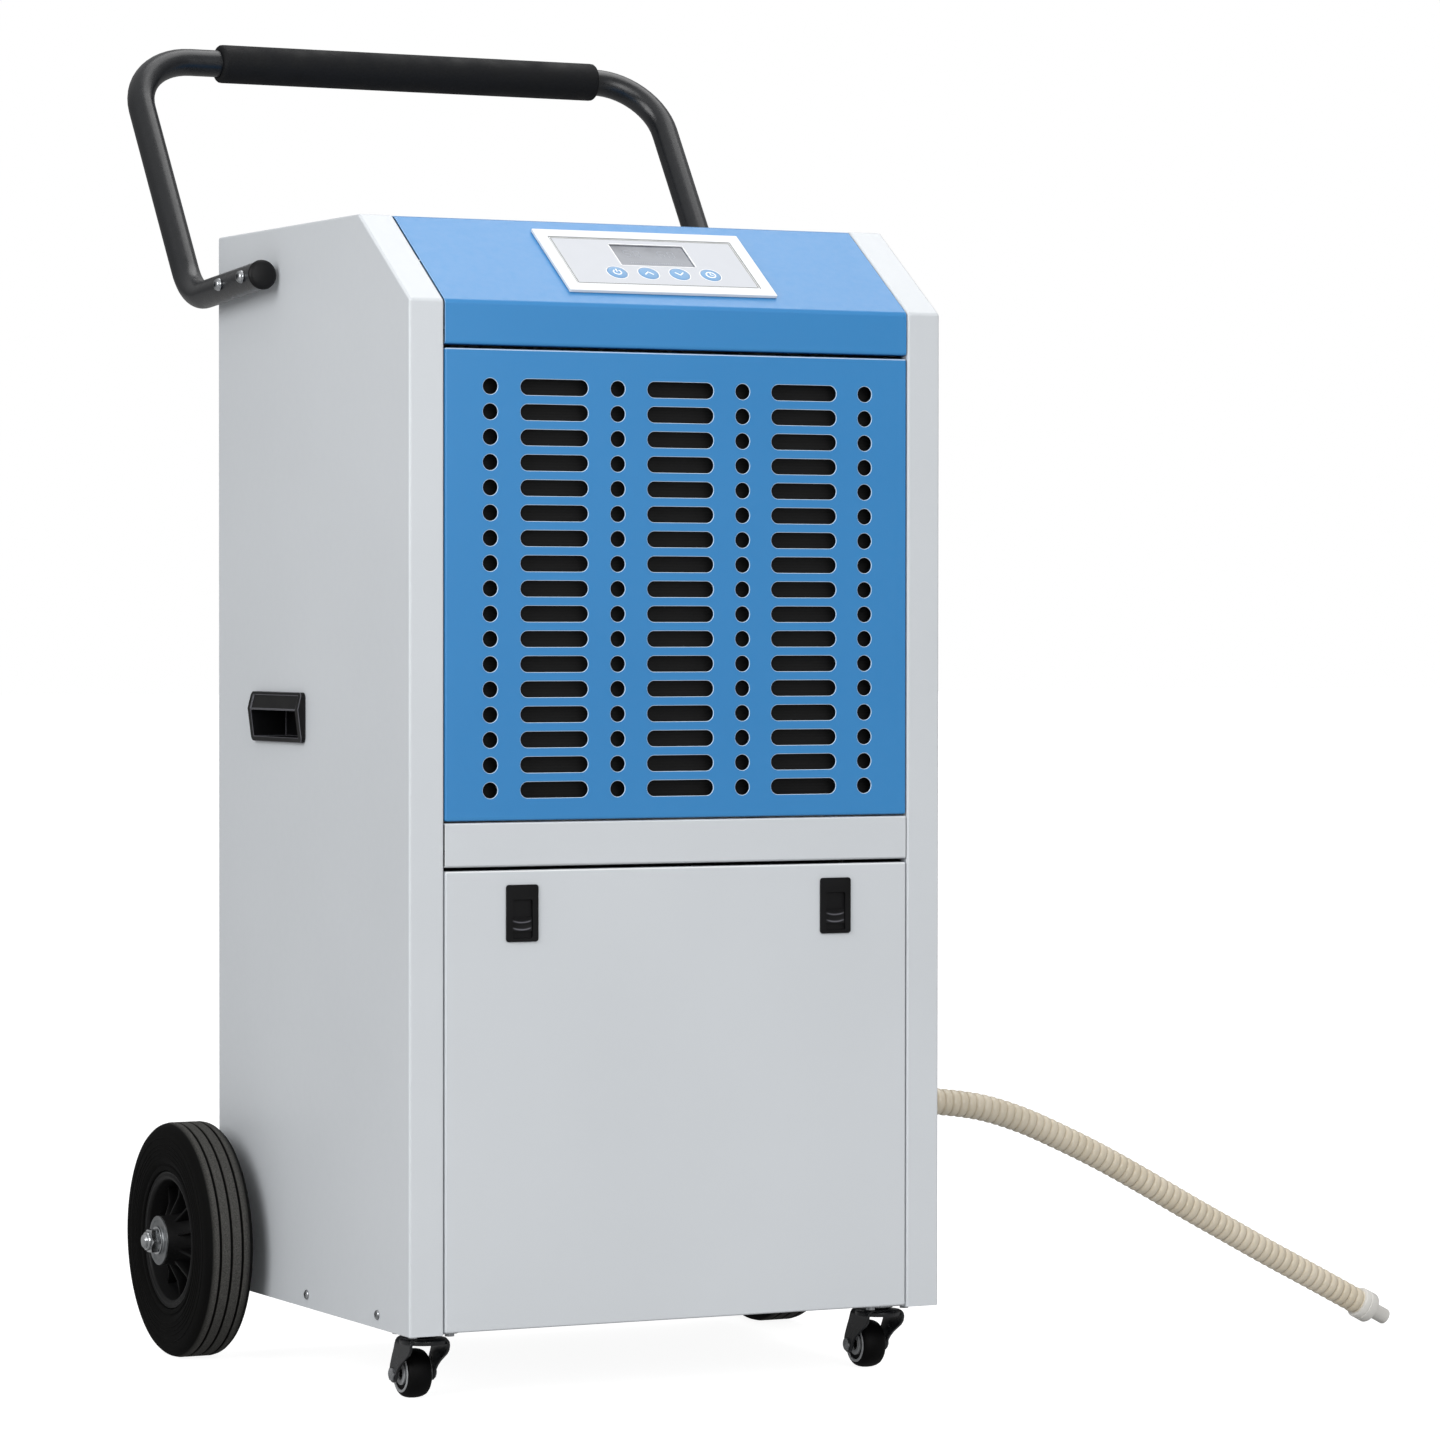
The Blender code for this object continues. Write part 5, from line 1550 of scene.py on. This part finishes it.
def repeatRoundTree():
    # copies of one shape turned evenly round local Z
    tree, given = newTree("turnedCopies", ("First Angle",), ("Copies",))
    spots = addNode(tree, "GeometryNodeMeshLine", {"Count": given["Copies"], "Offset": (0, 0, 0)})
    part = addNode(tree, "ShaderNodeMath", {
        0: addNode(tree, "GeometryNodeInputIndex").outputs[0], 1: given["Copies"],
    }, operation="DIVIDE")
    angle = addNode(tree, "ShaderNodeMath", {0: part.outputs[0], 1: math.tau, 2: given["First Angle"]},
                    operation="MULTIPLY_ADD")
    turned = addNode(tree, "ShaderNodeCombineXYZ", {"Z": angle.outputs[0]})
    copies = addNode(tree, "GeometryNodeInstanceOnPoints", {
        "Points": spots.outputs[0], "Instance": given["Geometry"], "Rotation": turned.outputs[0],
    })
    endTree(tree, copies.outputs[0], given["Material"])
    return tree


def repeatGridTree():
    # copies of one shape in rows and columns on local X and Y, centred
    tree, given = newTree("griddedCopies", ("Across Pitch", "Up Pitch"), ("Across", "Up"))

    def line(count, pitch, axis):
        gaps = addNode(tree, "ShaderNodeMath", {0: count, 1: -1.0}, operation="ADD")
        span = addNode(tree, "ShaderNodeMath", {0: gaps.outputs[0], 1: pitch}, operation="MULTIPLY")
        first = addNode(tree, "ShaderNodeMath", {0: span.outputs[0], 1: -0.5}, operation="MULTIPLY")
        return addNode(tree, "GeometryNodeMeshLine", {
            "Count": count,
            "Start Location": addNode(tree, "ShaderNodeCombineXYZ", {axis: first.outputs[0]}).outputs[0],
            "Offset": addNode(tree, "ShaderNodeCombineXYZ", {axis: pitch}).outputs[0],
        }).outputs[0]

    row = addNode(tree, "GeometryNodeInstanceOnPoints", {
        "Points": line(given["Across"], given["Across Pitch"], "X"), "Instance": given["Geometry"],
    })
    rows = addNode(tree, "GeometryNodeInstanceOnPoints", {
        "Points": line(given["Up"], given["Up Pitch"], "Y"), "Instance": row.outputs[0],
    })
    endTree(tree, rows.outputs[0], given["Material"])
    return tree


roundCopies, gridCopies = repeatRoundTree(), repeatGridTree()


def repeated(tree, mesh, material, matrix, values):
    # a shape repeated by a tree, then put in its place
    mesh.materials.clear()
    mesh.materials.append(material)
    work = working("repeated", mesh)
    useTree(work, tree, {**values, "Material": material})
    made = plainMesh(work)
    made.transform(matrix)
    if matrix.determinant() < 0:
        made.flip_normals()
    return made


def ribMesh():
    # one web of the moulded rim, standing in the dish between hub and bead seat
    outline = [(0.0205, 0.0010), (0.0500, 0.0004), (0.0506, 0.0080), (0.0360, 0.0104), (0.0208, 0.0180)]
    upright = Matrix.Rotation(math.pi / 2, 4, "X")
    return roundedMesh(prismMesh("rib", outline, -0.0011, 0.0011, upright), 0.0004)


def hexMesh(name, flats, low, high, matrix, chamfer):
    # a hexagon nut or bolt head with turned corners
    corner = flats / math.sqrt(3)
    work = working(name, prismMesh(name, hexagon(corner), low, high, matrix))
    turned = bmesh.new()
    revolved(turned, [
        (0, low - 0.0001), (flats / 2, low - 0.0001), (corner + 0.0002, low + chamfer),
        (corner + 0.0002, high - chamfer), (flats / 2, high + 0.0001), (0, high + 0.0001),
    ], 48, matrix)
    cutter = cutterOf(turned)
    combine(work, cutter, "INTERSECT")
    return meshWithout(work, cutter)


washerProfile = [
    (0.0064, 0.0020), (0.0125, 0.0020), (0.0132, 0.0013), (0.0168, 0.0013), (0.0176, 0.0020),
    (0.0202, 0.0020), (0.0209, 0.0015), (0.0210, 0.0003), (0.0207, 0), (0.0064, 0),
]
flangeProfile = [
    (0.0064, 0.0034), (0.0118, 0.0034), (0.0120, 0.0030), (0.0120, 0.0024), (0.0118, 0.0021),
    (0.0064, 0.0021),
]
collarProfile = [
    (0.0061, 0.0100), (0.0080, 0.0100), (0.0081, 0.0116), (0.0078, 0.0127), (0.0070, 0.0133),
    (0.0061, 0.0133),
]


def axleNut(at):
    # a lock nut between its flange and its collar
    nut = hexMesh("nut", 0.019, 0.0035, 0.0103, at, 0.0012)
    flange = revolvedPiece("flange", flangeProfile, 48, at, True)
    return together("axleNut", nut, flange, revolvedPiece("collar", collarProfile, 48, at, True))


for label, side in sides:
    body = label + "_wheel"
    at = facing((side * wheel["x"], wheel["y"], wheel["radius"]), (side, 0, 0))
    tyre = revolvedPiece("tyre", tyreProfile(), 144, at, True)
    addPiece(label + "Tyre", tyre, tyreRubber, body, [label + "_tyre"], 30)
    rim = revolvedPiece("rim", rimProfile, 96, at, True)
    addPiece(label + "Rim", rim, blackNylon, body, [label + "_rim"], 40)
    ribs = repeated(roundCopies, ribMesh(), blackNylon, at, {"Copies": wheel["ribs"], "First Angle": 0.3})
    addPiece(label + "RimRibs", ribs, blackNylon, body)
    hub = facing((side * wheel["washer"], wheel["y"], wheel["radius"]), (side, 0, 0))
    washer = revolvedPiece("washer", washerProfile, 64, hub, True)
    addPiece(label + "AxleWasher", washer, washerZinc, "cabinet", [label + "_axle_washer"])
    addPiece(label + "AxleNut", axleNut(hub), axleZinc, "cabinet", [label + "_axle_nut"], 25)
end = wheel["axleEnd"]
axle = [(0, -end), (0.0050, -end), (0.0060, -end + 0.0010)]
for side in (-1, 1):
    # the visible threads beyond the nuts
    turns = [(0.0060 - 0.0004 * (i % 2), side * (end - 0.0010 - 0.00045 * i)) for i in range(14)]
    axle += turns[::-1] if side > 0 else turns
axle += [(0.0060, end - 0.0010), (0.0050, end), (0, end)]
axleMesh = revolvedPiece("wheelAxle", axle, 40, facing((0, wheel["y"], wheel["radius"]), (1, 0, 0)))
addPiece("wheelAxle", axleMesh, axleZinc, "cabinet", ["wheel_axle"])
print("rear wheels made")


caster = {
    "x": 0.208,
    "y": -0.254,
    "trail": 0.022,
    "radius": 0.020,
    "plate": 0.0220,
    "plateLow": 0.0557,
    "plateHigh": 0.0577,
    "leg": 0.0140,
    "sheet": 0.0025,
    "crown": 0.0495,
}
crownProfile = [
    (0, 0.0530), (0.0100, 0.0530), (0.0106, 0.0526), (0.0112, 0.0514), (0.0150, 0.0511),
    (0.0185, 0.0508), (0.0193, 0.0502), (0.0195, 0.0494), (0.0195, 0.0472), (0.0190, 0.0466),
    (0.0150, 0.0466), (0, 0.0466),
]
raceProfile = [
    (0, 0.0532), (0.0118, 0.0532), (0.0128, 0.0537), (0.0130, 0.0545), (0.0130, 0.0560), (0, 0.0560),
]
boltCollar = [(0, 0.0161), (0.0062, 0.0161), (0.0064, 0.0157), (0.0064, 0.0153), (0, 0.0153)]
treadHalf = [
    (0.0032, 0.0094), (0.0120, 0.0094), (0.0124, 0.0098), (0.0152, 0.0104), (0.0168, 0.0101),
    (0.0182, 0.0088), (0.0192, 0.0066), (0.0198, 0.0036),
]
hubNylon = mouldedPlastic("greyNylonHub", "#8E9092", "#A0A2A4", 0.34, 900.0, 0.00002)


def casterFork(side):
    # one strip bent to a U, trimmed to the swept outline of the legs, with the swivel crown on top
    at = Matrix.Translation((side * caster["x"], caster["y"], 0))
    leg, top = caster["leg"], caster["crown"]
    outer = leg + caster["sheet"] / 2
    bm = bmesh.new()
    rows = [[bm.verts.new((x, y, z)) for y in (-0.02, 0.04)] for x, z in
            ((-outer, 0.008), (-outer, top), (outer, top), (outer, 0.008))]
    for low, high in zip(rows, rows[1:]):
        bm.faces.new((low[0], low[1], high[1], high[0]))
    bmesh.ops.transform(bm, matrix=at, verts=bm.verts)
    fork = sheetWork("fork", bm, 0.0035, caster["sheet"])
    hubY, hubZ, boss = caster["trail"], caster["radius"], 0.0070
    outline = [(-0.0138, 0.060), (-0.0138, 0.0450), (-0.0126, 0.0415), (-0.0090, 0.0380), (-0.0030, 0.0346),
               (0.0040, 0.0306), (0.0100, 0.0262), (0.0138, 0.0222)]
    outline += [(hubY + boss * math.cos(a), hubZ + boss * math.sin(a)) for a in
                [math.radians(d) for d in (190, 215, 240, 265, 290, 315, 340, 365)]]
    outline += [(0.0272, 0.0275), (0.0236, 0.0350), (0.0196, 0.0420), (0.0175, 0.0470), (0.0170, 0.060)]
    sideways = Matrix(((0, 0, 1), (1, 0, 0), (0, 1, 0))).to_4x4()
    cutter = prismCutter(outline, -0.03, 0.03, at @ sideways)
    combine(fork, cutter, "INTERSECT")
    roundEdges(fork, 0.0005, 2, 50)
    mesh = meshWithout(fork, cutter)
    return together("casterFork", mesh, revolvedPiece("crown", crownProfile, 56, at))


def casterPlate(x):
    # the mounting plate with its ball race and four nuts
    place = Matrix.Translation((x, caster["y"], 0))
    outline = roundedOutline(2 * caster["plate"], 2 * caster["plate"], 0.004, 5, (x, caster["y"]))
    plate = prismMesh("plate", outline, caster["plateLow"], caster["plateHigh"])
    race = revolvedPiece("race", raceProfile, 40, place)
    nuts = repeated(
        gridCopies, prismMesh("nut", hexagon(0.0042), -0.0024, 0.0002), boltZinc,
        Matrix.Translation((x, caster["y"], caster["plateLow"])),
        {"Across": 2, "Up": 2, "Across Pitch": 0.032, "Up Pitch": 0.032},
    )
    return together("casterPlate", roundedMesh(plate, 0.0004), race, nuts)


def casterHub(x, way):
    return facing((x, caster["y"] + caster["trail"], caster["radius"]), (way, 0, 0))


def casterBolt(x):
    # a hexagon head and a collar on each side of the fork
    parts = []
    for way in (-1, 1):
        place = casterHub(x, way)
        parts.append(hexMesh("head", 0.0100, 0.0160, 0.0193, place, 0.0006))
        parts.append(revolvedPiece("collar", boltCollar, 32, place))
    return together("casterBolt", *parts)


def casterRings(x):
    # the grey rings moulded into both faces of the wheel
    bm = bmesh.new()
    for way in (-1, 1):
        for inner, outer in ((0.0132, 0.0153), (0.0050, 0.0092)):
            revolved(bm, [
                (inner, 0.0092), (inner, 0.0108), (inner + 0.0003, 0.0111), (outer - 0.0003, 0.0111),
                (outer, 0.0108), (outer, 0.0092),
            ], 56, casterHub(x, way), True)
    outward(bm)
    return meshFrom("rings", bm)


for label, side in sides:
    x = side * caster["x"]
    addPiece(label + "CasterPlate", casterPlate(x), boltZinc, "cabinet", [label + "_caster_plate"])
    fork = weighted(casterFork(side))
    addPiece(label + "CasterFork", fork, blackCoat, label + "_fork", [label + "_caster_fork"])
    addPiece(label + "CasterBolt", casterBolt(x), boltZinc, label + "_fork", (), 25)
    profile = treadHalf + [(caster["radius"], 0.0)] + [(r, -z) for r, z in treadHalf[::-1]]
    tread = revolvedPiece("tread", profile, 72, casterHub(x, 1), True)
    addPiece(label + "CasterTread", tread, casterRubber, label + "_caster",
             [label + "_caster_wheel"], 40)
    addPiece(label + "CasterRings", casterRings(x), hubNylon, label + "_caster")
print("casters made")


fittings = {
    "spout": (0.2403, -0.190, 0.219),
    "gland": (-0.150, 0.1135, 0.150),
    "screwRadius": 0.0042,
    "screwHigh": 0.0020,
    "baseScrews": {"y": -0.086, "z": 0.069, "pitch": 0.149, "count": 3},
    "backScrews": {"columns": 2, "rows": 5, "across": 0.452, "up": 0.205, "z": 0.502},
}
spoutProfile = [
    (0, 0.0040), (0.0120, 0.0040), (0.0160, 0.0040), (0.0168, 0.0034), (0.0170, 0.0024),
    (0.0170, 0.0003), (0.0167, 0), (0.0100, 0), (0.0100, -0.0150), (0, -0.0150),
]
addPiece("drainSpout", revolvedPiece("drainSpout", spoutProfile, 56, facing(fittings["spout"], (1, 0, 0))),
         blackAbs, "cabinet", ["drain_spout"])
glandAt = facing(fittings["gland"], (0, 1, 0))
glandBody = revolvedPiece("body", [
    (0, 0.0150), (0.0032, 0.0150), (0.0048, 0.0147), (0.0064, 0.0134), (0.0072, 0.0112), (0.0074, 0.0056),
    (0.0060, 0.0050), (0.0060, 0.0003), (0.0058, -0.0150), (0, -0.0150),
], 40, glandAt)
glandNut = hexMesh("glandNut", 0.0142, 0.0004, 0.0050, glandAt, 0.0007)
gland = together("cableGland", glandBody, glandNut)
addPiece("cableGland", gland, blackNylon, "cabinet", ["cable_gland"])


def screwHead():
    # a low pan head with a pressed cross recess, its underside at local z = 0
    r, h = fittings["screwRadius"], fittings["screwHigh"]
    work = working("screw", revolvedPiece("screw", [
        (0, h), (r * 0.45, h * 0.94), (r * 0.75, h * 0.76), (r * 0.94, h * 0.42), (r, h * 0.12),
        (r * 0.98, 0.00002), (0, 0.00002),
    ], 24, Matrix.Identity(4)))
    blades = []
    for angle in (0, math.pi / 2):
        recess = bmesh.new()
        turned = Matrix.Rotation(angle + 0.5, 4, "Z")
        boxInto(recess, (-r * 0.5, -0.0004, h * 0.4), (r * 0.5, 0.0004, 0.01), turned)
        blades.append(cutterOf(recess))
        subtract(work, blades[-1])
    return meshWithout(work, *blades)


base, rear = fittings["baseScrews"], fittings["backScrews"]
for label, side in sides:
    at = facingSide((side * (cabinet["halfWidth"] + 0.0001), base["y"], base["z"]), side)
    screws = repeated(gridCopies, screwHead(), boltZinc, at, {
        "Across": base["count"], "Up": 1, "Across Pitch": base["pitch"], "Up Pitch": 0.02,
    })
    addPiece(label + "BaseScrews", screws, boltZinc, "cabinet")
backwards = Matrix(((-1, 0, 0), (0, 0, 1), (0, 1, 0))).to_4x4()
at = Matrix.Translation((0, cabinet["back"] + 0.0001, rear["z"])) @ backwards
screws = repeated(gridCopies, screwHead(), boltZinc, at, {
    "Across": rear["columns"], "Up": rear["rows"], "Across Pitch": rear["across"], "Up Pitch": rear["up"],
})
addPiece("backScrews", screws, boltZinc, "cabinet")
print("spout, gland and screws made")

inside = {
    "compressorAt": (-0.060, -0.005),
    "pipeRadius": 0.0050,
    "pipeBends": (0.025, 0.025, 0.030, 0.018),
    "pipeHeights": (0.390, 0.700),
    "riser": (-0.2235, 0.055),
    "coilSide": -0.1905,
    "tankCorner": 0.014,
    "tankRim": 0.004,
    "tankWall": 0.0025,
}


def compressorShell(low):
    # two drawn steel cups welded at a lap, on a flat foot ring
    profile = [
        (0, 0.2550), (0.012, 0.2547), (0.030, 0.2520), (0.044, 0.2465), (0.055, 0.2390), (0.0600, 0.2305),
        (0.0620, 0.2200), (0.0620, 0.1760), (0.0605, 0.1745), (0.0605, 0.1715), (0.0620, 0.1700),
        (0.0620, 0.0300), (0.0600, 0.0190), (0.0560, 0.0120), (0.0590, 0.0092), (0.0700, 0.0080),
        (0.0716, 0.0072), (0.0720, 0.0060), (0.0720, 0.0010), (0.0714, 0), (0, 0),
    ]
    return revolvedPiece("compressor", profile, 96, Matrix.Translation((*inside["compressorAt"], low)))


def tankTub(low, high):
    # a blown tub with a rolled rim and upright ribs pressed into its front
    rim, corner = inside["tankRim"], inside["tankCorner"]
    w, d = high[0] - low[0], high[1] - low[1]
    wall, top = rim + inside["tankWall"], high[2]
    centre = ((high[0] + low[0]) / 2, (high[1] + low[1]) / 2)
    outside = prismMesh("tank", roundedOutline(w - 2 * rim, d - 2 * rim, corner, 6, centre), low[2], top)
    tub = working("tank", roundedMesh(outside, 0.006, 4, 60))
    inner = roundedOutline(w - 2 * wall, d - 2 * wall, corner - 0.002, 6, centre)
    grooves = bmesh.new()
    for i in range(5):
        at = facingFront(centre[0] + (i - 2) * 0.060, low[1] + rim, low[2] + 0.092)
        outlinePrism(grooves, roundedOutline(0.010, 0.130, 0.0049, 5), -0.0012, 0.02, at)
    tools = [prismCutter(inner, low[2] + 0.004, top + 0.02), cutterOf(grooves)]
    for tool in tools:
        subtract(tub, tool)
    roundEdges(tub, 0.0005, 2, 50)
    body = meshWithout(tub, *tools)
    lip = bmesh.new()
    frameInto(lip, roundedOutline(w, d, corner + 0.002, 8, centre),
              roundedOutline(w - 2 * rim - 0.001, d - 2 * rim - 0.001, corner, 8, centre),
              top - 0.006, top, Matrix.Identity(4))
    outward(lip)
    return together("waterTank", body, roundedMesh(meshFrom("lip", lip), 0.0014, 3))


low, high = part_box("compressor")
shell = compressorShell(low[2])
addPiece("compressorShell", shell, compressorEnamel, "cabinet", ["compressor"], 40)
pipeFrom = low[2] + 0.2555
low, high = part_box("water_tank")
addPiece("waterTank", weighted(tankTub(low, high)), tankPlastic, "cabinet", ["water_tank"])
x, y = inside["compressorAt"]
riser, coilSide, (across, up) = inside["riser"], inside["coilSide"], inside["pipeHeights"]
route = bentRoute([
    (x, y, pipeFrom), (x, y, across), (*riser, across), (*riser, up), (riser[0], -0.200, up),
    (coilSide, -0.200, up),
], inside["pipeBends"], 10)
pipe = tubeMesh("refrigerantPipe", route, inside["pipeRadius"], 24)
addPiece("refrigerantPipe", pipe, copper, "cabinet", ["refrigerant_pipe"], 50)
print("inner pieces made")

keptNodes = {
    "base_pan": galvanisedSheet, "divider_shelf": galvanisedSheet, "fan_shroud": galvanisedSheet,
    "air_filter": filterMesh, "control_board": fibreBoard, "evaporator": coilFins, "condenser": coilFins,
    "drip_tray": tankPlastic, "fan_motor": compressorEnamel, "fan_blade": blackNylon,
    "drain_pipe": tankPlastic,
}
for name, material in keptNodes.items():
    for slot in nodes[name].material_slots:
        slot.material = material
print("inner parts given their materials")
